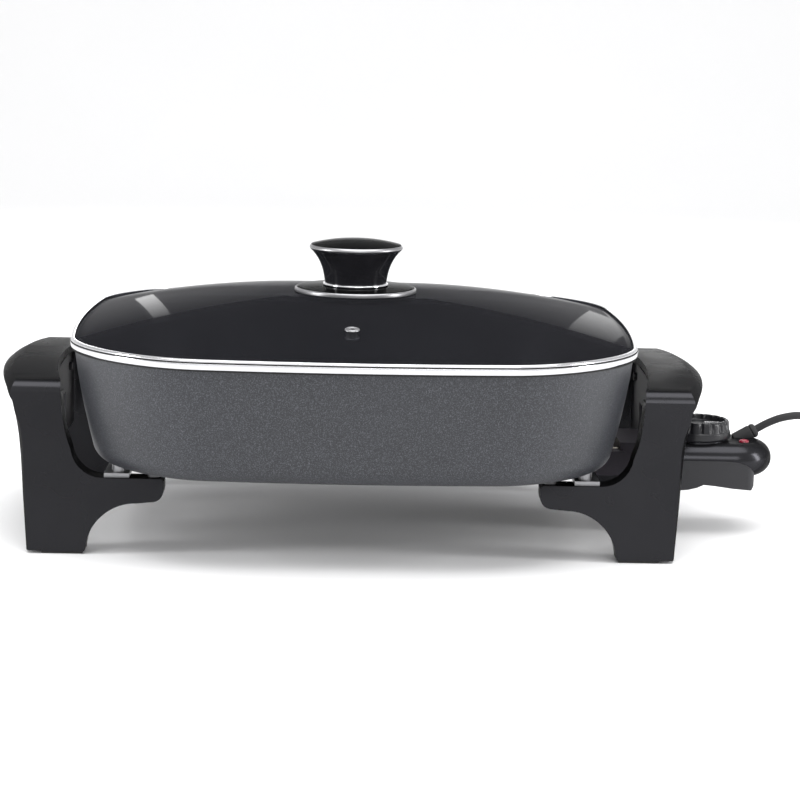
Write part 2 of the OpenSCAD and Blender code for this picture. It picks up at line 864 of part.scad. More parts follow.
module vent_eyelet() {
    color("gainsboro")
        at_vent()
            rotate_extrude()
                polygon([[vent_hole_r - 1, -glass_t - 1.2], [vent_r - 0.4, -glass_t - 1.2],
                    [vent_r - 0.4, -glass_t - 0.3], [vent_hole_r - hair, -glass_t - 0.3],
                    [vent_hole_r - hair, 0.4], [vent_r, 0.4], [vent_r - 0.2, 1],
                    [vent_r - 1.2, 1.5], [vent_hole_r - 0.6, 1.3], [vent_hole_r - 1, 0.6]]);
}

// ---- Knob ----

disc_z = seat_z + disc_t;
collar_z = disc_z + collar_h;
body_z = collar_z + knob_h;
ring_z = body_z + knob_ring_h;
trim_t = 1.1;
gasket_r = 13;
gasket_t = 1;
insert_depth = 12;

module knob_disc() {
    color([0.1, 0.1, 0.11])
        difference() {
            translate([0, 0, seat_z])
                rotate_extrude()
                    polygon([[knob_screw_r + 0.5, 0], [disc_r - trim_t, 0],
                        [disc_r - trim_t, disc_t - 1], [disc_r - trim_t - 1, disc_t - 0.6],
                        [collar_r + 2, disc_t], [knob_screw_r + 0.5, disc_t]]);
            rod_z([0, 0], seat_z - 1, seat_z + gasket_t, gasket_r + hair);
        }
}

module disc_trim() {
    color("gainsboro")
        translate([0, 0, seat_z])
            rotate_extrude()
                polygon([[disc_r - trim_t, 0], [disc_r - 0.3, 0], [disc_r, 0.4],
                    [disc_r, disc_t - 1.7], [disc_r - 0.4, disc_t - 1.1],
                    [disc_r - trim_t, disc_t - 0.8]]);
}

module knob_gasket() {
    color([0.2, 0.2, 0.2])
        difference() {
            rod_z([0, 0], seat_z, seat_z + gasket_t, gasket_r);
            rod_z([0, 0], seat_z - 1, seat_z + gasket_t + 1, knob_screw_r + 0.3);
        }
}

module knob_collar() {
    color("gainsboro")
        translate([0, 0, disc_z])
            rotate_extrude()
                polygon([[knob_screw_r + 0.5, 0], [collar_r - 0.4, 0], [collar_r, 0.5],
                    [collar_r, collar_h - 0.6], [collar_r - 0.6, collar_h],
                    [knob_screw_r + 0.5, collar_h]]);
}

// Radius of the knob's flared body at a share t of its height
waist_r = collar_r - 1.1;
function flare_r(t) = waist_r + (knob_ring_r - 0.9 - waist_r) * (0.38 * t + 0.62 * pow(t, 3));

module knob_body() {
    color([0.08, 0.08, 0.09])
        difference() {
            translate([0, 0, collar_z])
                rotate_extrude()
                    polygon(concat([[0, 0]],
                        [for (k = [0:10]) [flare_r(k / 10), knob_h * k / 10]],
                        [[0, knob_h]]));
            rod_z([0, 0], collar_z - 1, collar_z + insert_depth, knob_screw_r + hair);
        }
}

cap_plug_r = knob_ring_r - 4.4;

module knob_ring() {
    color("gainsboro")
        translate([0, 0, body_z])
            rotate_extrude()
                polygon([[cap_plug_r + hair, 0], [knob_ring_r - 0.8, 0], [knob_ring_r, 1],
                    [knob_ring_r, knob_ring_h - 1.2], [knob_ring_r - 0.9, knob_ring_h],
                    [cap_plug_r + hair, knob_ring_h]]);
}

module knob_cap() {
    edge = knob_ring_r - 1.1;
    rise = 2.9;
    dome_r = (edge * edge + rise * rise) / (2 * rise);
    half_a = asin((edge - 0.8) / dome_r);
    color([0.06, 0.06, 0.07])
        translate([0, 0, body_z])
            rotate_extrude()
                polygon(concat([[0, 0], [cap_plug_r, 0], [cap_plug_r, knob_ring_h],
                    [edge, knob_ring_h], [edge, knob_ring_h + 0.3]],
                    [for (k = [6:-1:1]) [dome_r * sin(half_a * k / 6),
                        knob_ring_h + 0.4 + rise - dome_r * (1 - cos(half_a * k / 6))]],
                    [[0, knob_ring_h + 0.4 + rise]]));
}

washer_r = 8;
washer_t = 1;
under_z = seat_z - glass_t;

module knob_washer() {
    color("silver")
        difference() {
            rod_z([0, 0], under_z - washer_t, under_z, washer_r);
            rod_z([0, 0], under_z - washer_t - 1, under_z + 1, knob_screw_r + 0.3);
        }
}

module knob_screw() {
    head_z = under_z - washer_t;
    color("silver") {
        rod_z([0, 0], head_z, collar_z + insert_depth - 1, knob_screw_r);
        translate([0, 0, head_z - 2.4])
            rotate_extrude()
                polygon([[0, 0], [knob_screw_r * 1.2, 0], [knob_screw_r * 1.9, 1],
                    [knob_screw_r * 1.9, 2.4], [0, 2.4]]);
    }
}

// ---- Controller: round-ended housing, nose, grip and what it holds ----

end_x = ctrl_reach - ctrl_half_w;
ctrl_r = ctrl_h / 2 - 0.2;
ctrl_x0 = guard_x1 + 4;
split_z = ctrl_mid;

// Half of the housing's section, from its middle out to its rounded side, in by t
module half_section(t) {
    intersection() {
        union() {
            translate([ctrl_half_w - ctrl_r, ctrl_mid])
                circle(r = ctrl_r - t);
            translate([0, ctrl_z0 + t + 0.2])
                square([ctrl_half_w - ctrl_r, ctrl_h - 2 * t - 0.4]);
        }
        translate([0, ctrl_z0])
            square([ctrl_half_w, ctrl_h]);
    }
}

module housing(t) {
    translate([end_x, 0, 0])
        rotate([0, 0, -90])
            rotate_extrude(angle = 180)
                half_section(t);
    along_x(ctrl_x0 + t, end_x)
        mirror_flat()
            half_section(t);
}

module mirror_flat() {
    children();
    mirror([1, 0])
        children();
}

boss_r = 3;
boss_places = [[ctrl_x0 + 14, 16.5], [end_x - 4, 16.5]];
boss_spots = [for (p = boss_places, s = [-1, 1]) [p.x, s * p.y]];
pedestal_r = dial_r - 1.6;
dial_gap = 0.4;
dial_z = base_z + 4.4;
bush_r = 4.5;
shaft_r = 2.6;
relief_y = 8;
lens_y = -8;
lens_x = end_x + 7.2;
lens_r = 2.8;

module controller_top() {
    color([0.14, 0.14, 0.15])
        difference() {
            union() {
                difference() {
                    union() {
                        housing(0);
                        rod_z([dial_x, 0], ctrl_mid, dial_z - dial_gap, pedestal_r);
                    }
                    housing(ctrl_wall);
                    rod_z([dial_x, 0], ctrl_mid, dial_z - dial_gap - ctrl_wall,
                        pedestal_r - ctrl_wall);
                }
                for (p = boss_spots)
                    rod_z(p, split_z, ctrl_z1 - ctrl_wall, boss_r);
                rod_z([dial_x, 0], dial_z - dial_gap - ctrl_wall - 2, dial_z - dial_gap, bush_r + 2);
            }
            translate([ctrl_x0 - 1, -ctrl_half_w - 1, ctrl_z0 - 1])
                cube([ctrl_reach, 2 * ctrl_half_w + 2, split_z - ctrl_z0 + 1]);
            for (p = boss_spots)
                rod_z(p, split_z - 1, ctrl_z1 - ctrl_wall - 1, 1.2);
            rod_z([dial_x, 0], ctrl_mid, dial_z + 1, bush_r + hair / 2);
            rod_z([lens_x, lens_y], ctrl_mid, ctrl_z1 + 5, lens_r + hair);
            relief_hole();
            nose_hole();
        }
}

module nose_hole() {
    translate([ctrl_x0 - 1, -nose_half_y - hair, nose_z0 - hair])
        cube([ctrl_wall + 3, 2 * (nose_half_y + hair), nose_z1 - nose_z0 + 2 * hair]);
}

module controller_bottom() {
    color([0.14, 0.14, 0.15])
        difference() {
            union() {
                difference() {
                    housing(0);
                    housing(ctrl_wall);
                }
                for (p = boss_spots)
                    rod_z(p, ctrl_z0 + ctrl_wall, split_z, boss_r);
            }
            translate([ctrl_x0 - 1, -ctrl_half_w - 1, split_z])
                cube([ctrl_reach, 2 * ctrl_half_w + 2, ctrl_h]);
            for (p = boss_spots) {
                rod_z(p, ctrl_z0 - 1, split_z + 1, 1.2 + screw_fit);
                rod_z(p, ctrl_z0 - 1, ctrl_z0 + 2.8, 2.6);
            }
            nose_hole();
        }
}

module controller_screws() {
    color("silver")
        for (p = boss_spots) {
            rod_z(p, ctrl_z0 + 2, split_z + 5, 1.2 - hair / 2);
            rod_z(p, ctrl_z0 + 1.2, ctrl_z0 + 2.8, 2.4);
        }
}

grip_half_y = ctrl_half_w + 0.6;
grip_wall = 3.2;
grip_x0 = ctrl_x0 + 6;
grip_x1 = end_x + 11.8;
grip_low = ctrl_z0 - 6;
grip_r = 4;

// Skirt round the housing's lower half, by which the controller is pulled out
module controller_grip() {
    color([0.22, 0.22, 0.23])
        difference() {
            intersection() {
                along_y(2 * grip_half_y)
                    polygon([[grip_x0, ctrl_mid + 1.1], [grip_x0 + 1, grip_low + 4],
                        [grip_x0 + 5, grip_low + 0.4], [end_x - 30, grip_low],
                        [end_x - 26, grip_low + 0.3], [end_x - 20.6, grip_low + 1.6],
                        [end_x - 17, grip_low + 3.3], [end_x - 10.3, grip_low + 2.7],
                        [end_x - 1.8, grip_low + 1.5], [end_x + 10, grip_low + 0.5],
                        [grip_x1 - 0.1, grip_low + 3.1], [grip_x1, grip_low + 7.4],
                        [grip_x1 - 0.6, grip_low + 10.7], [grip_x1 - 2.3, grip_low + 12.8],
                        [grip_x1 - 4.8, grip_low + 14.5], [end_x + 2, grip_low + 16.3],
                        [end_x - 5.3, ctrl_mid + 1.1]]);
                translate([0, 0, grip_low - 1])
                    linear_extrude(ctrl_h)
                        polygon(concat([[grip_x0 - 1, -grip_half_y]],
                            arc([grip_x1 - grip_r, -grip_half_y + grip_r], grip_r, -90, 0, 5),
                            arc([grip_x1 - grip_r, grip_half_y - grip_r], grip_r, 0, 90, 5),
                            [[grip_x0 - 1, grip_half_y]]));
            }
            housing(0);
            translate([grip_x0 + grip_wall, -grip_half_y + grip_wall, grip_low - 1])
                cube([grip_x1 - grip_x0 - 2 * grip_wall, 2 * (grip_half_y - grip_wall), ctrl_h]);
        }
}

// Heat-proof nose with the two sockets, held in the housing's front wall
module controller_nose() {
    back_x = ctrl_x0 + ctrl_wall + 2;
    color([0.75, 0.7, 0.6])
        difference() {
            translate([nose_x0, -nose_half_y, nose_z0])
                cube([back_x - nose_x0, 2 * nose_half_y, nose_z1 - nose_z0]);
            mirror_y()
                rod_x(nose_x0 - 1, back_x + 1, pin_y, element_z, socket_r + hair / 2);
            rod_x(nose_x0 - 1, back_x + 1, 0, probe_z, probe_d / 2 + hair / 2);
        }
}

socket_r = pin_r + slip + 1;

module socket_contacts() {
    color("goldenrod")
        mirror_y()
            difference() {
                rod_x(nose_x0 + 1, ctrl_x0 + ctrl_wall + 6, pin_y, element_z, socket_r);
                rod_x(nose_x0 - 1, pin_x1 + 3, pin_y, element_z, pin_r + slip);
            }
}

module probe() {
    color("silver") {
        rod_x(probe_x0 + probe_d / 2, ctrl_x0 + ctrl_wall + 4, 0, probe_z, probe_d / 2);
        translate([probe_x0 + probe_d / 2, 0, probe_z])
            sphere(d = probe_d);
    }
}

frame_x0 = ctrl_x0 + ctrl_wall + 6.4;
frame_z0 = ctrl_z0 + ctrl_wall + 0.2;

// Ceramic base of the thermostat, with the stack that clamps its blades
module thermostat_frame() {
    color("ivory") {
        translate([frame_x0, -8, frame_z0])
            cube([26, 16, 3]);
        translate([frame_x0 + 17, -5, frame_z0 + 3])
            cube([9, 10, 3.6]);
    }
}

module bimetal_blade() {
    color("peru")
        translate([frame_x0 + 1, -4, frame_z0 + 6.6])
            cube([25, 8, 0.7]);
}

module contact_arms() {
    color("goldenrod") {
        translate([frame_x0 + 1, -3, frame_z0 + 3])
            cube([15, 6, 0.8]);
        translate([frame_x0 + 4, 0, frame_z0 + 3.8])
            cylinder(r = 1.8, h = 1.2);
        translate([frame_x0 + 4, 0, frame_z0 + 5.1])
            cylinder(r = 1.8, h = 1.5);
    }
}

module dial_bush() {
    color("silver")
        difference() {
            rod_z([dial_x, 0], dial_z - dial_gap - ctrl_wall - 2, dial_z - dial_gap, bush_r);
            rod_z([dial_x, 0], ctrl_mid, dial_z + 1, shaft_r + dial_fit);
        }
}

module lamp_lens() {
    color("crimson")
        translate([lens_x, lens_y, ctrl_z1])
            rotate_extrude()
                polygon([[0, -ctrl_wall - 0.6], [lens_r, -ctrl_wall - 0.6], [lens_r, 0.3],
                    [lens_r * 0.93, 0.8], [lens_r * 0.78, 1.3], [lens_r * 0.5, 1.7],
                    [0, 1.9]]);
}

module neon_lamp() {
    color("orange")
        translate([lens_x, lens_y, 0]) {
            rod_z([0, 0], frame_z0, ctrl_z1 - ctrl_wall - 0.8, 1.8);
            rod_z([0, 0], frame_z0, frame_z0 + 3, 2.8);
        }
}

// ---- Dial ----

dial_z1 = dial_z + dial_h;
dial_notches = 18;
knurl_z = dial_z + dial_h * 0.42;
bowl_depth = dial_h * 0.3;

module dial() {
    color([0.1, 0.1, 0.11])
        difference() {
            translate([dial_x, 0, dial_z])
                rotate_extrude()
                    polygon([[0, 2.4], [6, 2.4], [6, 0.6], [dial_r - 3, 0.6], [dial_r - 3, 0],
                        [dial_r - 0.6, 0], [dial_r, 0.6], [dial_r, dial_h * 0.4],
                        [dial_r - 0.5, dial_h * 0.42], [dial_r - 0.9, dial_h - 1.4],
                        [dial_r - 1.7, dial_h - 0.2], [dial_r - 2.4, dial_h],
                        [dial_r - 3.2, dial_h - 0.5], [dial_r - 4.4, dial_h - bowl_depth],
                        [0, dial_h - bowl_depth]]);
            translate([dial_x, 0, 0])
                for (k = [0:dial_notches - 1])
                    rotate([0, 0, (k + 0.5) * 360 / dial_notches])
                        translate([dial_r + 0.3, 0, knurl_z])
                            cylinder(r = 1.3, h = dial_h);
            rod_z([dial_x, 0], dial_z - 1, dial_z + dial_h * 0.6, shaft_r + hair / 2);
        }
}

// Raised pointer bar on the dial's face
module dial_trim() {
    color("silver")
        translate([dial_x + 4, -0.9, dial_z1 - bowl_depth])
            cube([dial_r - 9, 1.8, 1.2]);
}

cam_z1 = dial_z - dial_gap - ctrl_wall - 2.6;
cam_z0 = cam_z1 - 2.4;

module dial_shaft() {
    color("silver")
        rod_z([dial_x, 0], cam_z0 + 0.4, dial_z + dial_h * 0.6 - 0.2, shaft_r);
}

module cam() {
    color("white")
        difference() {
            union() {
                rod_z([dial_x, 0], cam_z0, cam_z1, 6);
                rod_z([dial_x + 1.6, 0], cam_z0, cam_z1, 6);
            }
            rod_z([dial_x, 0], cam_z0 + 0.4, cam_z1 + 1, shaft_r + hair / 2);
        }
}

// ---- Strain relief, cord and plug ----

// Route of the cord from the strain relief to the table: X from the controller's end,
// Y, and the height as a share of the start's height
route_steps = [[-7.5, 8, 1], [-2.5, 8, 1.054], [2, 8, 1.094], [6, 8, 1.122], [11, 8.3, 1.143],
    [16.1, 9.4, 1.15], [21.9, 12.1, 1.134], [26.8, 16.7, 1.092], [30.6, 22.2, 1.021],
    [33.5, 28.2, 0.923], [35.7, 34.4, 0.805], [37.5, 40.8, 0.672], [38.9, 47.3, 0.533],
    [40.1, 54, 0.4], [41.1, 61, 0.274], [41.9, 68.4, 0.165], [42.5, 76, 0.083],
    [42.9, 83.8, 0.03], [43.2, 91.6, 0.006], [43.5, 99.4, 0], [43.5, 104, 0]];
relief_l = 16.8;

cord_r = cord_d / 2;
route = [for (p = route_steps)
    [ctrl_reach + p.x, p.y, between(cord_r, ctrl_z1 + 4.4, p.z)]];
relief_dir = unit(route[1] - route[0]);
relief_r = 4.2;

module at_relief() {
    translate(route[0])
        rotate([0, 90 - asin(relief_dir.z), 0])
            translate([0, 0, -relief_l])
                children();
}

module relief_hole() {
    at_relief()
        translate([0, 0, 3])
            cylinder(r = relief_r + hair / 2, h = relief_l);
}

// Moulded boot that carries the cord out of the housing
module strain_relief() {
    color([0.12, 0.12, 0.12])
        at_relief()
            rotate_extrude($fn = 32)
                polygon([[0, 3.2], [relief_r, 3.2], [relief_r, relief_l - 2.2],
                    [relief_r - 0.4, relief_l - 1.1], [relief_r - 1.1, relief_l - 0.3],
                    [cord_r + 0.3, relief_l], [0, relief_l]]);
}

module cord() {
    color([0.2, 0.2, 0.2])
        tube(route, cord_r, 10);
}

coil_mid_r = 24;
coil_turns = 4.25;
coil_pitch = cord_d + 0.5;
coil_step = 15;
coil_in = route[len(route) - 1];
coil_r0 = coil_mid_r + coil_pitch * coil_turns / 4;
coil_centre = [coil_in.x + coil_r0, coil_in.y + cord_d];
coil_sweep = 360 * coil_turns;
coil_tail = 26;

function ease(t) = let (u = min(max(t, 0), 1)) u * u * (3 - 2 * u);
function coil_radius(a) = coil_r0 - coil_pitch * (coil_sweep / 2 - abs(a - coil_sweep / 2)) / 360;
function coil_point(a) = let (
    r = coil_radius(a),
    up = ease((a - coil_sweep / 2 + 90) / 180))
    [coil_centre.x - r * cos(a), coil_centre.y + r * sin(a), coil_in.z + coil_pitch * up];

coil_loop = [for (a = [0:coil_step:coil_sweep]) coil_point(a)];
coil_out = coil_loop[len(coil_loop) - 1];
plug_x = coil_out.x + coil_tail;
coil_path = concat([coil_in], coil_loop,
    [coil_out + [cord_d, 0, 0], [plug_x - cord_d, coil_out.y, coil_out.z],
        [plug_x, coil_out.y, coil_out.z]]);

module cord_coil() {
    color([0.2, 0.2, 0.2])
        tube(coil_path, cord_r, 6);
}

function path_length(path) = len(path) < 2 ? 0 :
    [for (i = 1, l = norm(path[1] - path[0]); i < len(path); i = i + 1,
        l = l + (i < len(path) ? norm(path[i] - path[i - 1]) : 0)) l][len(path) - 2];
cord_l = path_length(route) + path_length(coil_path);
echo(cord_l = cord_l);

// Least gap between turns, from points more than half a turn apart
coil_gap = min([for (i = [0:len(coil_loop) - 1], j = [i + 12:1:len(coil_loop) - 1])
    norm(coil_loop[i] - coil_loop[j])]) - cord_d;
echo(coil_gap = coil_gap);

plug_h = 2 * coil_out.z - 0.2;
blade_l = 16;
blade_gap = 12.7;
plug_neck_l = 8;

module plug() {
    nose = 1.2;
    color([0.12, 0.12, 0.12])
        translate([plug_x, coil_out.y, coil_out.z]) {
            rotate([0, 90, 0])
                cylinder(r1 = cord_r + 0.8, r2 = plug_h / 2 - 1, h = plug_neck_l, $fn = 32);
            intersection() {
                translate([plug_neck_l, 0, -plug_h / 2])
                    linear_extrude(plug_h)
                        polygon([[0, -plug_w / 2 + 5], [6, -plug_w / 2], [plug_l - 8, -plug_w / 2],
                            [plug_l - 8, plug_w / 2], [6, plug_w / 2], [0, plug_w / 2 - 5]]);
                translate([plug_neck_l, plug_w, 0])
                    rotate([90, 0, 0])
                        linear_extrude(2 * plug_w)
                            polygon([[0, -plug_h / 2 + nose], [4, -plug_h / 2], [plug_l, -plug_h / 2],
                                [plug_l, plug_h / 2], [4, plug_h / 2], [0, plug_h / 2 - nose]]);
            }
        }
}

module plug_blades() {
    blade_x = plug_x + plug_l;
    color("silver")
        for (s = [-1, 1])
            difference() {
                translate([blade_x, coil_out.y + s * blade_gap / 2 - 0.75, coil_out.z - 3.15])
                    cube([blade_l, 1.5, 6.3]);
                translate([blade_x + blade_l - 4, coil_out.y + s * blade_gap / 2 + 2, coil_out.z])
                    rotate([90, 0, 0])
                        cylinder(r = 1.6, h = 4);
            }
}

in_frame() pan();
in_frame() heating_element();
in_frame() element_clamps();
in_frame() clamp_rivets();
in_frame() terminal_pins();
in_frame() pin_insulators();
in_frame() terminal_guard();
in_frame() guard_screws();
in_frame() probe_well();
in_frame() left_handle();
in_frame() right_handle();
in_frame() left_shield();
in_frame() right_shield();
in_frame() shield_screws();
in_frame() left_support_bar();
in_frame() right_support_bar();
in_frame() standoff_sleeves();
in_frame() handle_screws();
in_frame() rubber_feet();
in_frame() lid_glass();
in_frame() lid_band();
in_frame() vent_eyelet();
in_frame() knob_disc();
in_frame() disc_trim();
in_frame() knob_collar();
in_frame() knob_body();
in_frame() knob_ring();
in_frame() knob_cap();
in_frame() knob_screw();
in_frame() knob_washer();
in_frame() knob_gasket();
in_frame() controller_top();
in_frame() controller_bottom();
in_frame() controller_grip();
in_frame() controller_nose();
in_frame() controller_screws();
in_frame() socket_contacts();
in_frame() probe();
in_frame() thermostat_frame();
in_frame() bimetal_blade();
in_frame() contact_arms();
in_frame() dial_bush();
in_frame() lamp_lens();
in_frame() neon_lamp();
in_frame() dial();
in_frame() dial_trim();
in_frame() dial_shaft();
in_frame() cam();
in_frame() strain_relief();
in_frame() cord();
in_frame() cord_coil();
in_frame() plug();
in_frame() plug_blades();
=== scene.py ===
import math

import bmesh
import bpy
import numpy as np
from mathutils import Matrix, Vector


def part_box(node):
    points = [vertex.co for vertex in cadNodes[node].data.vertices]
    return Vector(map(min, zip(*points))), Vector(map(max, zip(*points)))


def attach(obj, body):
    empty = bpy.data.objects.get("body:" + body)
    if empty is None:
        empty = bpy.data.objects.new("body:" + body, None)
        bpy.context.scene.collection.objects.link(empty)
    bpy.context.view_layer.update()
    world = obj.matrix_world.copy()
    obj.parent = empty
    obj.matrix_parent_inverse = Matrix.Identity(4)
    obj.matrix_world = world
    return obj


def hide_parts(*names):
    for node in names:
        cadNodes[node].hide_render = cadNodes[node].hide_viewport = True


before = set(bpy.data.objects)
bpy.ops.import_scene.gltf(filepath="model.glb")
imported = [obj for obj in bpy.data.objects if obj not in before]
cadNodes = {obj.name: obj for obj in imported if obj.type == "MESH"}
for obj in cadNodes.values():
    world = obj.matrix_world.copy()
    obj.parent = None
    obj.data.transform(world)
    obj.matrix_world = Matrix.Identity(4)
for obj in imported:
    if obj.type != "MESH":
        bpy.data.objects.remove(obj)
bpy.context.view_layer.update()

panLow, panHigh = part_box("pan")
middleX = (panLow[0] + panHigh[0]) / 2  # the pan's middle in the row's frame
print("frame loaded, pan's middle at", round(middleX, 5))


def place(points):
    # millimetres from the pan's middle to metres in the row's frame
    return np.asarray(points, float) / 1000 + np.array([middleX, 0, 0])


cameraSettings = {
    "spot": (-3.88, -1400, 309.97),
    "pan": 1.24,
    "tilt": -9.73,
    "roll": 1.27,
    "lens": 112.73,
}


def addCamera(s):
    pan, tilt, roll = (math.radians(s[k]) for k in ("pan", "tilt", "roll"))
    ahead = Vector((math.sin(pan) * math.cos(tilt), math.cos(pan) * math.cos(tilt), math.sin(tilt)))
    side = Vector((math.cos(pan), -math.sin(pan), 0))
    above = side.cross(ahead)
    right = math.cos(roll) * side + math.sin(roll) * above
    up = -math.sin(roll) * side + math.cos(roll) * above
    turn = Matrix((right, up, -ahead)).transposed()
    data = bpy.data.cameras.new("camera")
    data.lens = s["lens"]
    data.sensor_width = 36
    data.clip_start = 0.05
    data.clip_end = 60
    camera = bpy.data.objects.new("camera", data)
    camera.matrix_world = Matrix.Translation(Vector(place(s["spot"]))) @ turn.to_4x4()
    bpy.context.scene.collection.objects.link(camera)
    bpy.context.scene.camera = camera


addCamera(cameraSettings)


def gridQuads(rows, columns, closeRows=False, closeColumns=True):
    # each cell of the grid becomes one quad; a closed direction joins its last line to its first
    i, j = np.meshgrid(np.arange(rows if closeRows else rows - 1),
                       np.arange(columns if closeColumns else columns - 1), indexing="ij")
    i, j = i.ravel(), j.ravel()
    nextI, nextJ = (i + 1) % rows, (j + 1) % columns
    return np.stack([i * columns + j, i * columns + nextJ,
                     nextI * columns + nextJ, nextI * columns + j], 1)


def addPiece(name, points, faces, look, body, sharp=40):
    mesh = bpy.data.meshes.new(name)
    mesh.from_pydata(np.asarray(points).tolist(), [], [list(map(int, f)) for f in faces])
    shape = bmesh.new()
    shape.from_mesh(mesh)
    bmesh.ops.remove_doubles(shape, verts=shape.verts, dist=1e-7)
    bmesh.ops.recalc_face_normals(shape, faces=shape.faces)
    shape.to_mesh(mesh)
    shape.free()
    mesh.shade_smooth()
    mesh.set_sharp_from_angle(angle=math.radians(sharp))
    piece = bpy.data.objects.new(name, mesh)
    bpy.context.scene.collection.objects.link(piece)
    mesh.materials.append(looks[look])
    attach(piece, body)
    return piece


def closedGrid(rows):
    # points and quads of a grid whose rows are closed rings
    count, columns = rows.shape[:2]
    return rows.reshape(-1, 3), gridQuads(count, columns)


def rounded(profile, radius, steps=4, closed=False):
    # every corner becomes a quadratic curve that leaves and meets its sides at most `radius` from it
    profile = np.asarray(profile, float)
    count = len(profile)
    radius = np.broadcast_to(np.asarray(radius, float), count)
    t = np.linspace(0, 1, steps + 1)[:, None]
    out = []
    for k in range(count):
        corner = profile[k]
        if not closed and k in (0, count - 1) or radius[k] == 0:
            out.append(corner[None])
            continue
        before, after = profile[k - 1] - corner, profile[(k + 1) % count] - corner
        lengths = np.linalg.norm(before), np.linalg.norm(after)
        reach = [min(radius[k], 0.48 * n) / n for n in lengths]
        start, end = corner + before * reach[0], corner + after * reach[1]
        out.append((1 - t) ** 2 * start + 2 * t * (1 - t) * corner + t ** 2 * end)
    return np.concatenate(out)


def revolved(name, profile, centre, look, body, columns=96, closed=False, turn=None, sharp=40):
    # radius and height carried round the Z axis through `centre`
    profile = np.asarray(profile, float)
    angle = np.linspace(0, 2 * math.pi, columns, endpoint=False)
    radius, height = profile[:, :1], profile[:, 1:]
    rows = np.stack([radius * np.cos(angle), radius * np.sin(angle), height + 0 * angle], 2)
    if turn is not None:
        rows = rows @ np.asarray(turn).T
    rows = rows + np.asarray(centre, float)
    points = place(rows.reshape(-1, 3))
    faces = gridQuads(len(profile), columns, closeRows=closed)
    return addPiece(name, points, faces, look, body, sharp)


def swept(name, path, radii, look, body, columns=20):
    # rings of the given radii, each square to the path, with a point on the path at either end
    path = np.asarray(path, float)
    ahead = np.gradient(path, axis=0)
    ahead /= np.linalg.norm(ahead, axis=1)[:, None]
    side = np.cross([0, 0, 1], ahead)
    side /= np.linalg.norm(side, axis=1)[:, None]
    above = np.cross(ahead, side)
    angle = np.linspace(0, 2 * math.pi, columns, endpoint=False)[None, :, None]
    radii = np.broadcast_to(np.asarray(radii, float), len(path))[:, None, None]
    ring = np.cos(angle) * side[:, None] + np.sin(angle) * above[:, None]
    rows = path[:, None] + radii * ring
    ends = [np.repeat(path[k][None, None], columns, 1) for k in (0, -1)]
    rows = np.concatenate([ends[0], rows, ends[1]])
    points, faces = closedGrid(rows)
    return addPiece(name, place(points), faces, look, body)


def softened(node, name, look, body, width, steps=3, angle=32):
    # a merged copy of a CAD node with its flat faces joined and its edges rounded
    shape = bmesh.new()
    shape.from_mesh(cadNodes[node].data)
    bmesh.ops.remove_doubles(shape, verts=shape.verts, dist=2e-6)
    bmesh.ops.dissolve_limit(shape, angle_limit=math.radians(0.6), verts=shape.verts,
                             edges=shape.edges, use_dissolve_boundaries=False)
    mesh = bpy.data.meshes.new(name)
    shape.to_mesh(mesh)
    shape.free()
    mesh.materials.clear()
    mesh.materials.append(looks[look])
    mesh.shade_smooth()
    mesh.set_sharp_from_angle(angle=math.radians(angle))
    piece = bpy.data.objects.new(name, mesh)
    bpy.context.scene.collection.objects.link(piece)
    bevel = piece.modifiers.new("rounded edges", "BEVEL")
    bevel.width = width / 1000
    bevel.segments = steps
    bevel.limit_method = "ANGLE"
    bevel.angle_limit = math.radians(angle)
    bevel.use_clamp_overlap = True
    bevel.harden_normals = False
    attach(piece, body)
    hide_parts(node)


class Signal:
    # one value in a material; arithmetic on it adds Math nodes
    def __init__(self, look, socket):
        self.look = look
        self.socket = socket

    def math(self, operation, first, second):
        return self.look.node("ShaderNodeMath", {"operation": operation}, {0: first, 1: second})

    def __add__(self, other):
        return self.math("ADD", self, other)

    def __radd__(self, other):
        return self.math("ADD", other, self)

    def __sub__(self, other):
        return self.math("SUBTRACT", self, other)

    def __mul__(self, other):
        return self.math("MULTIPLY", self, other)

    def __pow__(self, other):
        return self.math("POWER", self, other)


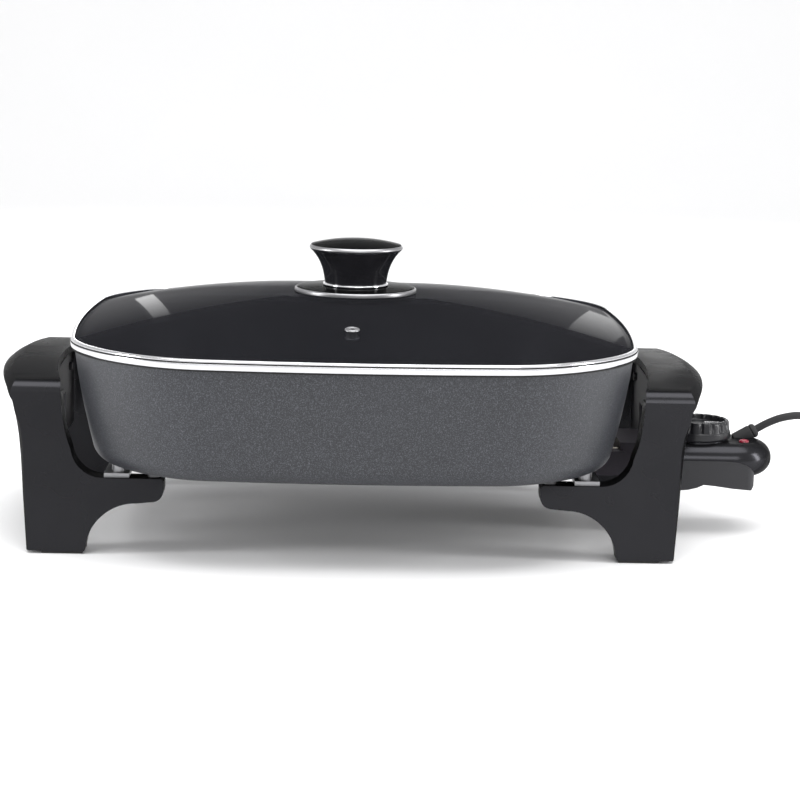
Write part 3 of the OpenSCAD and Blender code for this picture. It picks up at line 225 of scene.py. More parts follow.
class Look:
    # one Principled material; fixed values go straight on its sockets
    def __init__(self, name, **fixed):
        self.material = bpy.data.materials.new(name)
        self.material.use_nodes = True
        self.tree = self.material.node_tree
        self.shader = self.tree.nodes["Principled BSDF"]
        self.coords = None
        for key, value in fixed.items():
            self.feed(key.replace("_", " "), value)

    def feed(self, socket, value):
        target = self.shader.inputs[socket]
        if isinstance(value, Signal):
            self.tree.links.new(value.socket, target)
        elif isinstance(value, tuple) and len(value) == 3:
            target.default_value = (*value, 1)
        else:
            target.default_value = value

    def node(self, kind, settings=None, inputs=None, output=0):
        made = self.tree.nodes.new(kind)
        for key, value in (settings or {}).items():
            if key == "stops":
                ramp = made.color_ramp.elements
                while len(ramp) < len(value):
                    ramp.new(0.5)
                for element, (position, shade) in zip(ramp, value):
                    element.position = position
                    element.color = (shade, shade, shade, 1)
            else:
                setattr(made, key, value)
        for key, value in (inputs or {}).items():
            if isinstance(value, Signal):
                self.tree.links.new(value.socket, made.inputs[key])
            else:
                made.inputs[key].default_value = value
        return Signal(self, made.outputs[output])

    def point(self, stretch=(1, 1, 1)):
        if self.coords is None:
            self.coords = self.node("ShaderNodeTexCoord", output="Object")
        if stretch == (1, 1, 1):
            return self.coords
        return self.node("ShaderNodeMapping", {}, {"Vector": self.coords, "Scale": stretch})

    def noise(self, scale, detail=2, roughness=0.5, stretch=(1, 1, 1)):
        return self.node("ShaderNodeTexNoise", {}, {"Vector": self.point(stretch), "Scale": scale,
                                                    "Detail": detail, "Roughness": roughness})

    def ramp(self, value, *stops):
        return self.node("ShaderNodeValToRGB", {"stops": stops}, {"Fac": value})

    def blend(self, amount, first, second):
        return self.node("ShaderNodeMix", {"data_type": "RGBA"},
                         {"Factor": amount, 6: (*first, 1) if isinstance(first, tuple) else first,
                          7: (*second, 1) if isinstance(second, tuple) else second}, output=2)

    def bump(self, height, distance, strength=1):
        self.feed("Normal", self.node("ShaderNodeBump", {}, {"Height": height, "Distance": distance,
                                                             "Strength": strength}))


def panCoating():
    # dark coating with fine bright flecks of two sizes, slightly uneven
    look = Look("panCoating", IOR=1.5)
    fine = look.ramp(look.noise(1900, 2, 0.6), (0.5, 0), (0.72, 1))
    coarse = look.ramp(look.noise(800, 2, 0.6), (0.6, 0), (0.74, 1))
    cloud = look.noise(14, 3)
    flecks = fine * 0.65 + coarse * 0.3
    base = look.blend(cloud, (0.016, 0.017, 0.02), (0.023, 0.025, 0.03))
    look.feed("Base Color", look.blend(flecks, base, (0.135, 0.14, 0.158)))
    look.feed("Metallic", flecks * 0.35 + 0.2)
    look.feed("Roughness", 0.4 + cloud * 0.08 - flecks * 0.05)
    look.bump(look.noise(900, 2) + flecks * 0.5, 0.00005, 0.5)
    return look.material


def satinPlastic(name, colour, rough, grain=2600, depth=0.00003, gloss=0.3, held=0.0):
    # moulded plastic with a fine spark texture and faint rubbed patches;
    # held is how far the white sheen at low angles is held back
    look = Look(name, IOR=1.49, Specular_IOR_Level=gloss, Metallic=held)
    if held:
        look.shader.inputs["Specular Tint"].default_value = (0.05, 0.05, 0.05, 1)
    patch = look.noise(22, 3)
    low, high = tuple(0.9 * c for c in colour), tuple(1.12 * c for c in colour)
    look.feed("Base Color", look.blend(patch, low, high))
    look.feed("Roughness", rough - 0.03 + patch * 0.07)
    look.bump(look.noise(grain, 2, 0.6), depth, 0.6)
    return look.material


def glossPlastic(name, colour, rough=0.12, gloss=0.5, coat=0.25):
    # polished plastic with a slow ripple and a trace of handling marks
    look = Look(name, IOR=1.5, Coat_Roughness=0.05, Specular_IOR_Level=gloss)
    marks = look.noise(60, 4, 0.6)
    look.feed("Base Color", look.blend(marks, colour, tuple(1.25 * c for c in colour)))
    look.feed("Roughness", rough + look.ramp(marks, (0.45, 0), (0.8, 1)) * 0.08)
    look.feed("Coat Weight", (marks * 0.4 + 0.8) * coat)
    look.bump(look.noise(35, 2), 0.0001, 0.08)
    return look.material


def polishedMetal(name, colour, rough=0.09):
    # bright plating with faint wipe marks
    look = Look(name, Metallic=1.0)
    wipes = look.noise(30, 4, 0.6, (1, 1, 6))
    look.feed("Base Color", look.blend(wipes, tuple(0.93 * c for c in colour), colour))
    look.feed("Roughness", rough + wipes * 0.08)
    look.bump(look.noise(500, 2, stretch=(1, 1, 8)), 0.00001, 0.3)
    return look.material


def plainMetal(name, colour, rough=0.32, stretch=(1, 12, 1)):
    # drawn sheet or wire, with grain along one way
    look = Look(name, Metallic=1.0)
    grain = look.noise(420, 3, 0.6, stretch)
    blotch = look.noise(45, 3)
    look.feed("Base Color", look.blend(blotch, tuple(0.82 * c for c in colour), colour))
    look.feed("Roughness", rough - 0.06 + grain * 0.14)
    look.bump(grain, 0.00003, 0.4)
    return look.material


def heatedSheath():
    # dark oxide that turns straw and blue in patches where it runs hottest
    look = Look("heatedSheath", Metallic=0.75)
    tint = look.noise(28, 4, 0.6)
    straw = look.ramp(tint, (0.4, 0), (0.62, 1))
    warm = look.blend(straw, (0.05, 0.046, 0.044), (0.13, 0.095, 0.06))
    blue = look.ramp(look.noise(19, 2), (0.58, 0), (0.75, 1))
    look.feed("Base Color", look.blend(blue, warm, (0.06, 0.07, 0.1)))
    look.feed("Roughness", 0.45 + tint * 0.2)
    look.bump(look.noise(700, 3), 0.00005, 0.5)
    return look.material


def ceramicBody():
    # unglazed body with fine pores and grey specks
    look = Look("ceramicBody", IOR=1.5)
    speck = look.ramp(look.noise(900, 2), (0.66, 0), (0.74, 1))
    look.feed("Base Color", look.blend(speck, (0.72, 0.67, 0.57), (0.5, 0.46, 0.38)))
    look.feed("Roughness", 0.7 + look.noise(80, 2) * 0.15)
    look.bump(look.noise(1200, 3), 0.00008, 0.6)
    return look.material


def softRubber(name, colour):
    # matte rubber, a little dusty in the hollows of its grain
    look = Look(name, IOR=1.5, Specular_IOR_Level=0.3)
    dust = look.noise(300, 4, 0.7)
    look.feed("Base Color", look.blend(dust, colour, tuple(1.5 * c + 0.004 for c in colour)))
    look.feed("Roughness", 0.62 + dust * 0.16)
    look.bump(look.noise(1800, 2), 0.00006, 0.6)
    return look.material


def domeGlass():
    # tempered glass, clear when seen from above; darker at low angles, where a dark opaque share mixed in
    # is a painted dark reflection;
    # the metallic share holds back the white sheen at low angles
    look = Look("domeGlass", Metallic=0.6, Specular_IOR_Level=0.0,
                Specular_Tint=(0.02, 0.02, 0.02), Roughness=0.03)
    film = look.noise(9, 2)
    look.feed("Base Color", look.blend(film, (0.032, 0.032, 0.037), (0.046, 0.046, 0.052)))
    clear = look.tree.nodes.new("ShaderNodeBsdfTransparent")
    clear.inputs["Color"].default_value = (0.86, 0.87, 0.89, 1)
    mixed = look.tree.nodes.new("ShaderNodeMixShader")
    facing = look.node("ShaderNodeLayerWeight", {}, {"Blend": 0.5}, output=1)
    # the dark share grows towards low angles: painted dark reflection
    share = 0.16 + facing ** 3 * 0.86 + film * 0.03
    look.tree.links.new(share.socket, mixed.inputs[0])
    look.tree.links.new(clear.outputs[0], mixed.inputs[1])
    look.tree.links.new(look.shader.outputs[0], mixed.inputs[2])
    output = look.tree.nodes["Material Output"]
    look.tree.links.new(mixed.outputs[0], output.inputs["Surface"])
    look.bump(look.noise(60, 2), 0.00004, 0.12)
    return look.material


def redLens():
    # moulded lens with fine ribs
    look = Look("redLens", IOR=1.49, Emission_Strength=0.05)
    ribs = look.node("ShaderNodeTexWave", {"bands_direction": "Y"},
                     {"Vector": look.point(), "Scale": 700.0})
    look.feed("Base Color", look.blend(ribs, (0.15, 0.002, 0.014), (0.24, 0.005, 0.026)))
    look.feed("Emission Color", look.blend(ribs, (0.25, 0.0, 0.0), (0.5, 0.02, 0.01)))
    look.feed("Roughness", 0.12 + ribs * 0.05)
    look.bump(ribs, 0.00015, 0.4)
    return look.material


def paleFloor():
    # white backdrop paper, barely uneven
    look = Look("paleFloor", IOR=1.3)
    paper = look.noise(3, 2)
    look.feed("Base Color", look.blend(paper, (0.86, 0.86, 0.865), (0.88, 0.88, 0.885)))
    look.feed("Roughness", 0.75 + paper * 0.1)
    return look.material


looks = {
    "panCoating": panCoating(),
    "handlePlastic": satinPlastic("handlePlastic", (0.031, 0.031, 0.034), 0.27, 2600, 0.00001, 0.12, 0.85),
    "housingPlastic": satinPlastic("housingPlastic", (0.03, 0.03, 0.033), 0.22, 900, 0.00001, 0.2, 0.75),
    "paintedSteel": satinPlastic("paintedSteel", (0.04, 0.038, 0.043), 0.5, 1800, 0.00005),
    "guardPlastic": satinPlastic("guardPlastic", (0.03, 0.026, 0.034), 0.55),
    "gripPlastic": satinPlastic("gripPlastic", (0.026, 0.026, 0.029), 0.5, 1500, 0.00006),
    "knobPlastic": glossPlastic("knobPlastic", (0.012, 0.012, 0.014)),
    "capPlastic": satinPlastic("capPlastic", (0.016, 0.016, 0.018), 0.12, 900, 0.00001, 0.1, 0.85),
    "dialPlastic": glossPlastic("dialPlastic", (0.01, 0.01, 0.012), 0.3, 0.3, 0.06),
    # painted shade: black for the rings that stand in for the band's dark reflection line and the shadow
    # under its hem
    "paintedShadeBlack": softRubber("paintedShadeBlack", (0.004, 0.004, 0.004)),
    "chromePlate": polishedMetal("chromePlate", (0.86, 0.86, 0.88)),
    "bandSteel": polishedMetal("bandSteel", (0.7, 0.7, 0.72), 0.1),
    "satinSteel": polishedMetal("satinSteel", (0.34, 0.34, 0.35), 0.3),
    "sheetSteel": plainMetal("sheetSteel", (0.62, 0.62, 0.64)),
    "dullSteel": plainMetal("dullSteel", (0.3, 0.3, 0.31), 0.42),
    "screwSteel": plainMetal("screwSteel", (0.7, 0.7, 0.72), 0.26, (1, 1, 6)),
    "castMetal": plainMetal("castMetal", (0.32, 0.32, 0.33), 0.5, (1, 1, 1)),
    "brassContact": plainMetal("brassContact", (0.78, 0.57, 0.26), 0.28),
    "heatedSheath": heatedSheath(),
    "ceramicBody": ceramicBody(),
    "padRubber": softRubber("padRubber", (0.022, 0.022, 0.022)),
    "cordJacket": softRubber("cordJacket", (0.014, 0.014, 0.015)),
    "plugBody": satinPlastic("plugBody", (0.02, 0.02, 0.022), 0.45, 1400, 0.00006),
    "domeGlass": domeGlass(),
    "redLens": redLens(),
    "lampGlass": glossPlastic("lampGlass", (0.7, 0.32, 0.14), 0.1),
    "paleFloor": paleFloor(),
}
nodeLooks = {
    "heating_element": "heatedSheath", "element_clamps": "sheetSteel", "clamp_rivets": "castMetal",
    "terminal_pins": "screwSteel", "pin_insulators": "ceramicBody", "terminal_guard": "guardPlastic",
    "guard_screws": "screwSteel", "probe_well": "castMetal", "left_shield": "paintedSteel",
    "right_shield": "paintedSteel", "shield_screws": "paintedSteel", "left_support_bar": "dullSteel",
    "right_support_bar": "dullSteel", "standoff_sleeves": "dullSteel", "handle_screws": "dullSteel",
    "knob_screw": "screwSteel", "knob_washer": "sheetSteel", "knob_gasket": "padRubber",
    "controller_nose": "ceramicBody", "controller_screws": "screwSteel", "socket_contacts": "brassContact",
    "probe": "sheetSteel", "thermostat_frame": "ceramicBody", "bimetal_blade": "brassContact",
    "contact_arms": "brassContact", "dial_bush": "brassContact", "neon_lamp": "lampGlass",
    "dial_shaft": "screwSteel", "cam": "ceramicBody", "plug_blades": "brassContact",
    "dial_trim": "screwSteel",
}
for node, look in nodeLooks.items():
    data = cadNodes[node].data
    data.materials.clear()
    data.materials.append(looks[look])
print("materials made:", len(looks))


cordSettings = {
    # X from the housing's end, Y, and the height as a share of the start's
    "steps": [(-7.5, 8, 1), (-2.5, 8, 1.054), (2, 8, 1.094), (6, 8, 1.122),
              (11, 8.3, 1.143), (16.1, 9.4, 1.15), (21.9, 12.1, 1.134), (26.8, 16.7, 1.092),
              (30.6, 22.2, 1.021), (33.5, 28.2, 0.923), (35.7, 34.4, 0.805), (37.5, 40.8, 0.672),
              (38.9, 47.3, 0.533), (40.1, 54, 0.4), (41.1, 61, 0.274), (41.9, 68.4, 0.165),
              (42.5, 76, 0.083), (42.9, 83.8, 0.03), (43.2, 91.6, 0.006), (43.5, 99.4, 0),
              (43.5, 104, 0)],
    "housingEnd": 238.5,
    "startHeight": 55.5,
    "diameter": 4.4,
    "coilRadius": 24,
    "turns": 4.25,
    "pitch": 4.9,
    "tail": 26,
}
restHeight = cordSettings["diameter"] / 2
cordDrop = cordSettings["startHeight"] - restHeight
cordRoute = [(cordSettings["housingEnd"] + x, y, restHeight + cordDrop * share)
             for x, y, share in cordSettings["steps"]]


def smoothPath(points, perSpan=6):
    # Catmull-Rom spline: each span is a cubic whose slopes are half the step between its neighbours
    p = np.asarray(points, float)
    p = np.concatenate([2 * p[:1] - p[1:2], p, 2 * p[-1:] - p[-2:-1]])
    t = np.linspace(0, 1, perSpan, endpoint=False)[None, :, None]
    a, b, c, d = (p[k:len(p) - 3 + k, None] for k in range(4))
    spans = 0.5 * (2 * b + (c - a) * t + (2 * a - 5 * b + 4 * c - d) * t ** 2
                   + (3 * b - a - 3 * c + d) * t ** 3)
    return np.concatenate([spans.reshape(-1, 3), p[-2:-1]])


def cordLine(s):
    # the route, then a flat spiral in to the coil's middle on the table and out again one cord higher
    start = np.array(cordRoute[-1])
    outer = s["coilRadius"] + s["pitch"] * s["turns"] / 4
    centre = start[:2] + np.array([outer, s["diameter"]])
    sweep = 360 * s["turns"]
    angle = np.arange(0, sweep + 0.1, 7.5)
    radius = outer - s["pitch"] * (sweep / 2 - abs(angle - sweep / 2)) / 360
    rise = np.clip((angle - sweep / 2 + 90) / 180, 0, 1)
    height = start[2] + s["pitch"] * rise ** 2 * (3 - 2 * rise)
    turn = np.radians(angle)
    coil = np.stack([centre[0] - radius * np.cos(turn), centre[1] + radius * np.sin(turn), height], 1)
    last = coil[-1]
    out = last + np.array([1, 0, 0]) * np.linspace(s["diameter"], s["tail"], 5)[:, None]
    return np.concatenate([smoothPath(cordRoute)[:-1], start[None], coil, out])


cordPoints = cordLine(cordSettings)
cordEnd = cordPoints[-1]
cordPiece = swept("mainsCord", cordPoints, cordSettings["diameter"] / 2, "cordJacket", "controller", 16)
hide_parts("cord", "cord_coil")

reliefSettings = {"length": 16.8, "radius": 4.2, "rings": 1, "pitch": 2.6, "grooveWidth": 0.7}


def strainRelief(s):
    # a stubby boot with a domed end; its radius dips at evenly spaced rings
    end, beyond = np.array(cordRoute[0], float), np.array(cordRoute[1], float)
    ahead = (beyond - end) / np.linalg.norm(beyond - end)
    along = np.linspace(3.3, s["length"] - 0.02, 110)
    left = s["length"] - along
    r = s["radius"]
    radius = np.interp(left, [0, 0.15, 0.6, 1.3, 2.4, 17], [2.6, r - 1.1, r - 0.6, r - 0.2, r, r])
    groove = np.zeros_like(along)
    for k in range(s["rings"]):
        groove += np.exp(-((left - 3.2 - k * s["pitch"]) / (s["grooveWidth"] / 2)) ** 2)
    radius = radius - 0.5 * np.clip(groove, 0, 1)
    path = end + ahead * (along - s["length"])[:, None]
    piece = swept("strainRelief", path, radius, "cordJacket", "controller", 40)
    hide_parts("strain_relief")


strainRelief(reliefSettings)

plugSettings = {"length": 28, "width": 22, "height": 14, "neck": 8, "power": 3.2}


def plugBody(s):
    # rounded-box sections: a superellipse whose half-width and half-height vary along X
    at = np.concatenate([np.linspace(0, s["neck"], 12),
                         np.linspace(s["neck"] + 0.6, s["length"] - 0.6, 28)])
    share = np.clip((at - s["neck"] + 2) / 9, 0, 1)
    swell = share ** 2 * (3 - 2 * share)
    endRound = np.sqrt(np.clip(1 - np.clip((at - s["length"] + 2) / 2.2, 0, 1) ** 2, 0.02, 1))
    halfWidth = (2.9 + (s["width"] / 2 - 2.9) * swell) * (0.9 + 0.1 * endRound)
    halfHeight = (2.9 + (s["height"] / 2 - 2.9) * np.clip(at / 10, 0, 1)) * (0.9 + 0.1 * endRound)
    ribs = 0.35 * np.exp(-((at[:, None] - np.array([2.2, 4.6, 7.0])) / 0.5) ** 2).sum(1)
    power = 2 / np.interp(at, [0, s["neck"], s["neck"] + 5], [2, 2.2, s["power"]])
    angle = np.linspace(0, 2 * math.pi, 72, endpoint=False)
    co, si = np.cos(angle), np.sin(angle)
    y = (halfWidth - ribs)[:, None] * np.sign(co) * abs(co) ** power[:, None]
    z = (halfHeight - ribs)[:, None] * np.sign(si) * abs(si) ** power[:, None]
    rows = np.stack([at[:, None] + 0 * y, y, z], 2) + cordEnd
    ends = [np.repeat(rows[k].mean(0)[None, None], 72, 1) for k in (0, -1)]
    points, faces = closedGrid(np.concatenate([ends[0], rows, ends[1]]))
    piece = addPiece("plugBody", place(points), faces, "plugBody", "controller", 50)
    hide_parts("plug")
    return piece


plugPiece = plugBody(plugSettings)
print("cord, relief and plug made")


rimSettings = {"halfLength": 155, "halfWidth": 155, "corner": 70, "bow": 12,
               "cornerSteps": 30, "sideSteps": 16}


def rimOutline(s):
    # a rounded rectangle whose points slide inwards with the square of their distance along each side
    a, b, r = s["halfLength"], s["halfWidth"], s["corner"]
    cornerTurn = np.linspace(0, math.pi / 2, s["cornerSteps"], endpoint=False)
    points = []
    corners = [(1, 1), (-1, 1), (-1, -1), (1, -1)]
    for quarter, (sx, sy) in enumerate(corners):
        turn = cornerTurn + quarter * math.pi / 2
        centre = np.array([sx * (a - r), sy * (b - r)])
        arc = centre + r * np.stack([np.cos(turn), np.sin(turn)], 1)
        endTurn = (quarter + 1) * math.pi / 2
        reach = r * np.array([math.cos(endTurn), math.sin(endTurn)])
        nx, ny = corners[(quarter + 1) % 4]
        first = centre + reach
        second = np.array([nx * (a - r), ny * (b - r)]) + reach
        share = np.linspace(0, 1, s["sideSteps"], endpoint=False)[:, None]
        points += [arc, first + (second - first) * share]
    p = np.concatenate(points)
    x = p[:, 0] * (1 - s["bow"] / a * (p[:, 1] / b) ** 2)
    y = p[:, 1] * (1 - s["bow"] / b * (p[:, 0] / a) ** 2)
    return np.stack([x, y], 1)


outline = rimOutline(rimSettings)
along = np.roll(outline, -1, 0) - np.roll(outline, 1, 0)
outward = np.stack([along[:, 1], -along[:, 0]], 1) / np.linalg.norm(along, axis=1)[:, None]


def rimRows(profile):
    # each profile entry is (offset from the outline, height, scale)
    p = np.asarray([(*q, 1)[:3] for q in profile], float)
    flat = (outline[None] + p[:, :1, None] * outward[None]) * p[:, 2:3, None]
    return np.concatenate([flat, np.broadcast_to(p[:, 1][:, None, None], (*flat.shape[:2], 1))], 2)


panSettings = {"rim": 109, "height": 61.5, "wall": 3.5, "base": 5, "taper": 12.2, "foot": 12,
               "inset": 2.5, "power": 1.35, "lean": 15}


def panBody(s):
    # the wall leans out with a power of the height; an arc joins it to the flat base, inside and out
    bottom, floorHeight = s["rim"] - s["height"], s["rim"] - s["height"] + s["base"]
    lean = math.radians(s["lean"])

    def wallOffset(z):
        return -s["inset"] - s["taper"] * ((s["rim"] - z) / s["height"]) ** s["power"]

    def foot(base, radius, shift):
        top = base + radius * (1 - math.sin(lean))
        turn = np.linspace(math.pi / 2, lean, 14)
        offset = wallOffset(top) - shift - radius * (math.cos(lean) - np.cos(turn))
        return np.stack([offset, base + radius - radius * np.sin(turn)], 1), top

    outerFoot, outerTop = foot(bottom, s["foot"], 0)
    innerFoot, innerTop = foot(floorHeight, s["foot"] - 2, s["wall"])
    rise = np.linspace(outerTop, s["rim"] - 1, 18)[1:]
    outerWall = np.stack([wallOffset(rise), rise], 1)
    top = wallOffset(s["rim"])
    lip = rounded([outerWall[-1], (top, s["rim"]), (top - s["wall"], s["rim"]),
                   (wallOffset(s["rim"] - 1) - s["wall"], s["rim"] - 1)], [0, 1, 1, 0], 5)
    fall = np.linspace(s["rim"] - 1, innerTop, 18)[1:-1]
    innerWall = np.stack([wallOffset(fall) - s["wall"], fall], 1)
    profile = np.concatenate([outerFoot, outerWall, lip[1:], innerWall, innerFoot[::-1]])
    section = [(d, z, 1) for d, z in profile]
    shrink = np.linspace(0.94, 0, 12)
    under = [(outerFoot[0, 0], bottom, k) for k in shrink[::-1]]
    inside = [(innerFoot[0, 0], floorHeight, k) for k in shrink]
    points, faces = closedGrid(rimRows(under + section + inside))
    piece = addPiece("panBody", place(points), faces, "panCoating", "base", 50)
    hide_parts("pan")


panBody(panSettings)

bandSettings = {"bottom": 109, "height": 5.4, "sheet": 0.9, "lip": 2.4, "skirtIn": 7.4, "skirt": 3.4,
                "lineAt": 3.55, "line": 0.75}


def lidBand(s):
    # rolled steel: outer face with one pressed line, lip over the glass, seat and skirt inside the pan
    low, top = s["bottom"], s["bottom"] + s["height"]
    t, line = s["sheet"], s["bottom"] + s["lineAt"]
    outer = [(-s["skirtIn"], low - s["skirt"]), (-s["skirtIn"], low), (-0.5, low), (0, low + 0.9),
             (0, line - 0.3), (-s["line"], line - 0.05), (-s["line"], line + 0.25),
             (-0.3, line + 0.5), (-0.3, top - 0.7), (-1.1, top), (-s["lip"], top)]
    inner = [(-s["lip"], top - t), (-s["line"] - t, top - t), (-s["line"] - t, low + t),
             (-s["skirtIn"] - t, low + t), (-s["skirtIn"] - t, low - s["skirt"])]
    radii = [0.4, 0.7, 0.5, 0.5, 0.15, 0.1, 0.1, 0.15, 0.4, 0.5, 0.3] + [0.3] * len(inner)
    profile = rounded(outer + inner, radii, 4, closed=True)
    rows = rimRows([(d, z, 1) for d, z in profile])
    piece = addPiece("lidBand", place(rows.reshape(-1, 3)), gridQuads(*rows.shape[:2], closeRows=True),
                     "bandSteel", "lid", 60)
    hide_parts("lid_band")


lidBand(bandSettings)


def paintedBandDarkRings(s):
    # dark rings of painted shade on the rolled steel: one fills the pressed line as a painted dark
    # reflection, one lies under the hem as a painted shadow
    line, low = s["bottom"] + s["lineAt"], s["bottom"]
    paintedDarkRings = {
        "paintedLineReflection": [(-0.12, line - 0.32), (-0.22, line + 0.52), (-0.7, line + 0.4), (-0.7, line - 0.2)],
        "paintedHemShadow": [(-0.75, low + 0.04), (-0.95, low - 0.75), (-2.2, low - 0.6), (-2.2, low + 0.04)],
    }
    for name, profile in paintedDarkRings.items():
        rows = rimRows([(d, z, 1) for d, z in profile])
        faces = gridQuads(*rows.shape[:2], closeRows=True)
        addPiece(name, place(rows.reshape(-1, 3)), faces, "paintedShadeBlack", "lid", 60)


paintedBandDarkRings(bandSettings)

glassSettings = {"edge": 113.4, "thickness": 3.2, "rise": 17.9, "inset": 1.2, "flat": 0.98, "power": 2,
                 "seat": 36.2, "screwHole": 3.5, "vent": 102.5, "ventOff": 1.6}
seatShare = glassSettings["seat"] / (rimSettings["halfWidth"] - rimSettings["bow"])


def domeHeight(share, s=glassSettings):
    # falls from 1 at the knob's seat to 0 at the flat edge with a power of the distance
    return (1 - (share / s["flat"]) ** s["power"]) / (1 - (seatShare / s["flat"]) ** s["power"])


def lidGlass(s):
    # the dome's two skins, closed round the edge and round the screw hole
    share = s["flat"] + (seatShare - s["flat"]) * np.linspace(0, 1, 60)
    top = s["edge"] + s["rise"] * domeHeight(share)
    d, t = -s["inset"], s["thickness"]
    upper = [(d, z, k) for z, k in zip(top, share)]
    lower = [(d, z - t, k) for z, k in zip(top[::-1], share[::-1])]
    rim = [(d, s["edge"] - t, 0.995), (d, s["edge"] - t + 0.8, 1),
           (d, s["edge"] - 0.8, 1), (d, s["edge"], 0.995)]
    rows = rimRows(lower + rim + upper)
    angle = np.arctan2(outline[:, 1], outline[:, 0])
    hole = np.stack([np.cos(angle), np.sin(angle)], 1)
    seatZ = s["edge"] + s["rise"]
    rings = [np.concatenate([hole * r, np.full((len(hole), 1), z)], 1)
             for r, z in ((20, seatZ), (s["screwHole"], seatZ),
                          (s["screwHole"], seatZ - t), (20, seatZ - t))]
    rows = np.concatenate([rows, np.stack(rings)])
    piece = addPiece("lidGlass", place(rows.reshape(-1, 3)), gridQuads(*rows.shape[:2], closeRows=True),
                     "domeGlass", "lid", 60)
    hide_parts("lid_glass")


lidGlass(glassSettings)


def ventEyelet(s):
    # a rolled eyelet square to the dome where it sits
    def heightAt(y):
        return s["edge"] + s["rise"] * domeHeight(y / (rimSettings["halfWidth"] - s["inset"]))

    lean = math.atan((heightAt(s["vent"] - 2) - heightAt(s["vent"] + 2)) / 4)
    turn = [[1, 0, 0], [0, math.cos(lean), -math.sin(lean)], [0, math.sin(lean), math.cos(lean)]]
    profile = rounded([(1.7, -4.4), (4.0, -4.4), (4.0, -3.55), (3.1, -3.5), (3.1, 0.35), (4.0, 0.1),
                       (4.0, 0.8), (3.3, 1.2), (2.9, 0.7), (2.4, 1.3), (1.7, 1.0)], 0.4, 4, closed=True)
    centre = (-s["ventOff"], -s["vent"], heightAt(s["vent"]))
    piece = revolved("ventEyelet", profile, centre, "dullSteel", "lid", 48, True, turn, 60)
    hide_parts("vent_eyelet")


ventEyelet(glassSettings)
print("pan and lid made")


knobSettings = {"seat": 131.3, "discRadius": 34.2, "disc": 3.7, "collar": 1.7, "body": 18.3,
                "ringRadius": 26.2, "collarRadius": 18.4, "capInset": 0.9, "capLow": 3.1,
                "crown": 3.15, "crownPower": 2.2}


def knob(s):
    discTop = s["seat"] + s["disc"]
    bodyLow = discTop + s["collar"]
    ringLow = bodyLow + s["body"]

    def add(name, node, profile, radius, height, look, closed=False, columns=128):
        profile = rounded(profile, radius, 5, closed)
        piece = revolved(name, profile, (0, 0, height), look, "lid", columns, closed)
        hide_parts(node)

    edge = s["discRadius"] - 1.1
    disc = [(3, 0.02), (edge, 0.02), (edge, 2.6), (edge - 1.2, 3), (20, s["disc"]), (3, s["disc"])]
    add("knobDisc", "knob_disc", disc, 0.5, s["seat"], "capPlastic", True)
    trim = [(edge + 0.01, 0.02), (edge + 0.8, 0.02), (edge + 1.1, 0.4), (edge + 1.1, 2),
            (edge + 0.7, 2.6), (edge + 0.01, 2.9)]
    add("discTrim", "disc_trim", trim, 0.35, s["seat"], "satinSteel", True)
    r = s["collarRadius"]
    collar = [(3, 0.01), (r - 0.3, 0.01), (r, 0.5), (r, 1.1), (r - 0.6, 1.68), (3, 1.68)]
    add("knobCollar", "knob_collar", collar, 0.35, discTop, "chromePlate", True)
    # the body's radius grows slowly at first and flares out under the ring
    t = np.linspace(0, 1, 40)
    waist, wide = r - 1.1, s["ringRadius"] - 0.9
    flare = waist + (wide - waist) * (0.38 * t + 0.62 * t ** 3)
    body = np.concatenate([[[0, -0.1], [waist - 0.6, -0.1]], np.stack([flare, s["body"] * t], 1),
                           [[0, s["body"]]]])
    piece = revolved("knobBody", body, (0, 0, bodyLow), "knobPlastic", "lid", 128)
    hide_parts("knob_body")
    r = s["ringRadius"]
    ring = [(r - 4.3, 0.01), (r - 0.8, 0.01), (r, 1), (r, 1.8), (r - 0.9, 3), (r - 4.3, 3)]
    add("knobRing", "knob_ring", ring, 0.45, ringLow, "satinSteel", True)
    # the crown falls from the middle with a power of the distance from it
    cap = r - s["capInset"]
    u = np.linspace(1, 0, 32)
    crown = np.stack([cap * u, s["capLow"] + s["crown"] * (1 - u ** s["crownPower"])], 1)
    plug = [(0, 0.02), (r - 4.5, 0.02), (r - 4.5, 3.01), (cap - 0.1, 3.01)]
    piece = revolved("knobCap", np.concatenate([plug, crown]), (0, 0, ringLow), "capPlastic", "lid", 128)
    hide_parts("knob_cap")


knob(knobSettings)
print("knob made")


handleSettings = {"rounding": 2.2, "steps": 4}

for node, name in (("left_handle", "leftHandle"), ("right_handle", "rightHandle")):
    softened(node, name, "handlePlastic", "base", handleSettings["rounding"], handleSettings["steps"])
feetSettings = {"rounding": 0.4, "steps": 2}
softened("rubber_feet", "rubberFeet", "padRubber", "base", feetSettings["rounding"], feetSettings["steps"])
print("handles made")


shellSettings = {"rounding": 0.35, "steps": 2}
for node, name in (("controller_top", "controllerTop"), ("controller_bottom", "controllerBottom")):
    softened(node, name, "housingPlastic", "controller", shellSettings["rounding"], shellSettings["steps"])
gripSettings = {"rounding": 0.9, "steps": 3, "angle": 25}
softened("controller_grip", "controllerGrip", "gripPlastic", "controller", gripSettings["rounding"],
         gripSettings["steps"], gripSettings["angle"])

lensSettings = {"x": 221.7, "y": -8, "z": 51.1, "radius": 2.8}


def lampLens(s):
    # a low dome on a short cylinder
    u = np.linspace(1, 0, 16)
    dome = np.stack([s["radius"] * u, 0.05 + 1.2 * np.sqrt(1 - u ** 2 * 0.96)], 1)
    profile = np.concatenate([[[0, -2.8], [s["radius"], -2.8]], dome])
    piece = revolved("lampLens", profile, (s["x"], s["y"], s["z"]), "redLens", "controller", 48)
    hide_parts("lamp_lens")


lampLens(lensSettings)

dialSettings = {"x": 196, "bottom": 51.9, "height": 10.6, "radius": 18.8, "bowl": 0.3,
                "notches": 18, "depth": 1.0, "bore": 2.65}


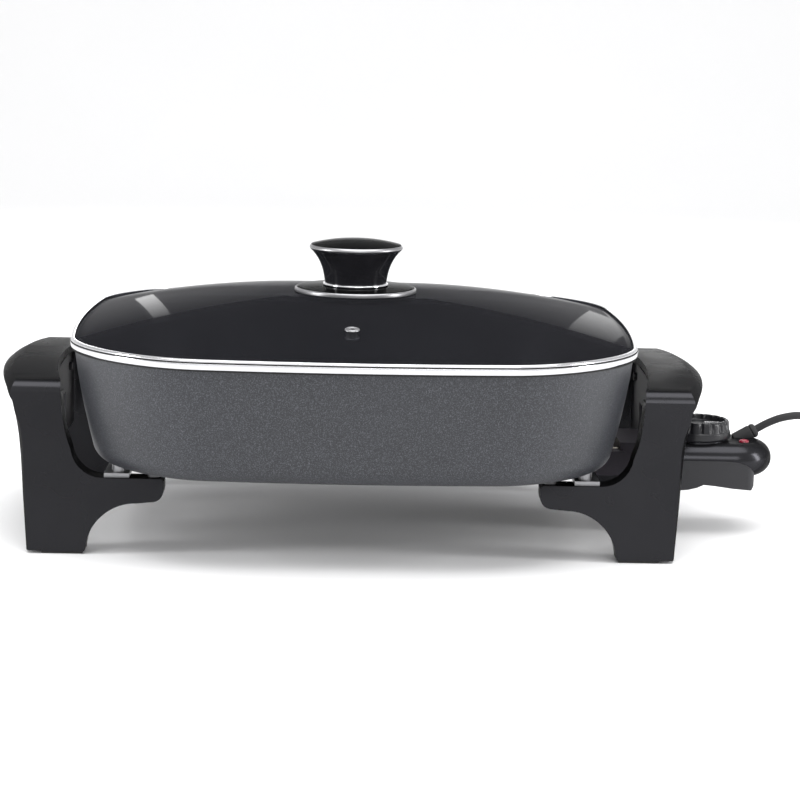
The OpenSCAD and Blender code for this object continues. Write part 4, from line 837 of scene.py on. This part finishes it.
def dial(s):
    # a knurled cup: above its skirt the radius dips at each notch
    h, r = s["height"], s["radius"]
    bore, bowlFloor = s["bore"], h * (1 - s["bowl"])
    corners = [(bore, 2.4), (6, 2.4), (6, 0.6), (r - 3, 0.6), (r - 3, 0.02), (r - 0.5, 0.02), (r, 0.7),
               (r, h * 0.38), (r - 0.5, h * 0.43), (r - 0.9, h - 1.4), (r - 1.7, h - 0.15), (r - 2.4, h),
               (r - 3.2, h - 0.5), (r - 4.4, bowlFloor), (0, bowlFloor)]
    radii = [0, 0.2, 0.2, 0.2, 0.2, 0.4, 0.4, 0.3, 0.2, 0.8, 0.4, 0.4, 0.5, 0.6, 0]
    profile = rounded(corners, radii, 6)
    count = s["notches"] * 16
    angle = np.linspace(0, 2 * math.pi, count, endpoint=False)
    notch = np.clip(-np.cos(angle * s["notches"]), 0, 1) ** 1.5
    radius, height = profile[:, :1], profile[:, 1:]
    deep = np.clip((height - h * 0.42) / 0.8, 0, 1) * np.clip((radius - r + 4.2) / 1.2, 0, 1)
    spread = radius - s["depth"] * deep * notch
    rows = np.stack([s["x"] + spread * np.cos(angle), spread * np.sin(angle),
                     s["bottom"] + height + 0 * angle], 2)
    wellTop = np.full(count, s["bottom"] + h * 0.6)
    well = np.stack([s["x"] + bore * np.cos(angle), bore * np.sin(angle), wellTop], 1)
    pole = np.stack([np.full(count, s["x"]), np.zeros(count), wellTop], 1)
    rows = np.concatenate([pole[None], well[None], rows])
    points, faces = closedGrid(rows)
    piece = addPiece("dialCup", place(points), faces, "dialPlastic", "dial", 45)
    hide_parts("dial")


dial(dialSettings)
print("controller made")


floorSettings = {"front": -4, "back": 3.2, "half": 5, "bend": 1.4, "top": 4}


def paperSweep(s):
    # a level floor that turns up behind the object in a quarter circle
    level = np.linspace(s["front"], s["back"] - s["bend"], 10)
    turn = np.linspace(0, math.pi / 2, 24)[1:]
    y = np.concatenate([level, s["back"] - s["bend"] + s["bend"] * np.sin(turn), [s["back"]]])
    z = np.concatenate([0 * level, s["bend"] * (1 - np.cos(turn)), [s["top"]]])
    x = np.linspace(-s["half"], s["half"], 8)
    rows = np.stack([np.broadcast_to(x, (len(y), 8)), np.broadcast_to(y[:, None], (len(y), 8)),
                     np.broadcast_to(z[:, None], (len(y), 8))], 2)
    mesh = bpy.data.meshes.new("paperSweep")
    mesh.from_pydata(rows.reshape(-1, 3).tolist(), [], gridQuads(len(y), 8, closeColumns=False).tolist())
    mesh.shade_smooth()
    mesh.materials.append(looks["paleFloor"])
    sweep = bpy.data.objects.new("paperSweep", mesh)
    bpy.context.scene.collection.objects.link(sweep)


paperSweep(floorSettings)

# the two lights behind the object make the glints on the dome's sides
lightSettings = [
    {"name": "overhead", "spot": (0.1, -0.25, 1.9), "aim": (0, 0, 0.05),
     "size": (2.2, 1.6), "power": 42},
    {"name": "leftStrip", "spot": (-1.6, -0.35, 0.5), "aim": (-0.1, 0, 0.06),
     "size": (0.3, 1.0), "power": 15},
    {"name": "rightStrip", "spot": (1.6, -0.3, 0.5), "aim": (0.1, 0, 0.06),
     "size": (0.3, 1.0), "power": 15},
    {"name": "front", "spot": (0.5, -2.4, 1.2), "aim": (0, 0, 0.05),
     "size": (1.2, 0.8), "power": 14},
    {"name": "backLeft", "spot": (-0.355, 1.8, 0.37), "aim": (-0.11, 0, 0.12),
     "size": (0.03, 0.3), "power": 0.17},
    {"name": "backRight", "spot": (0.4, 1.8, 0.35), "aim": (0.12, 0, 0.12),
     "size": (0.08, 0.3), "power": 0.26},
]


skySettings = {"colour": (1, 1, 1, 1), "strength": 0.75}


def addLights(settings, sky):
    for s in settings:
        data = bpy.data.lights.new(s["name"], "AREA")
        data.shape = "RECTANGLE"
        data.size, data.size_y = s["size"]
        data.energy = s["power"]
        lamp = bpy.data.objects.new(s["name"], data)
        lamp.visible_camera = False
        spot, aim = Vector(s["spot"]), Vector(s["aim"])
        lamp.location = spot
        lamp.rotation_mode = "QUATERNION"
        lamp.rotation_quaternion = (aim - spot).to_track_quat("-Z", "Y")
        bpy.context.scene.collection.objects.link(lamp)
    world = bpy.data.worlds.new("studio")
    world.use_nodes = True
    world.node_tree.nodes["Background"].inputs[0].default_value = sky["colour"]
    world.node_tree.nodes["Background"].inputs[1].default_value = sky["strength"]
    bpy.context.scene.world = world
    bpy.context.scene.view_settings.view_transform = "Standard"


addLights(lightSettings, skySettings)
print("lights made")
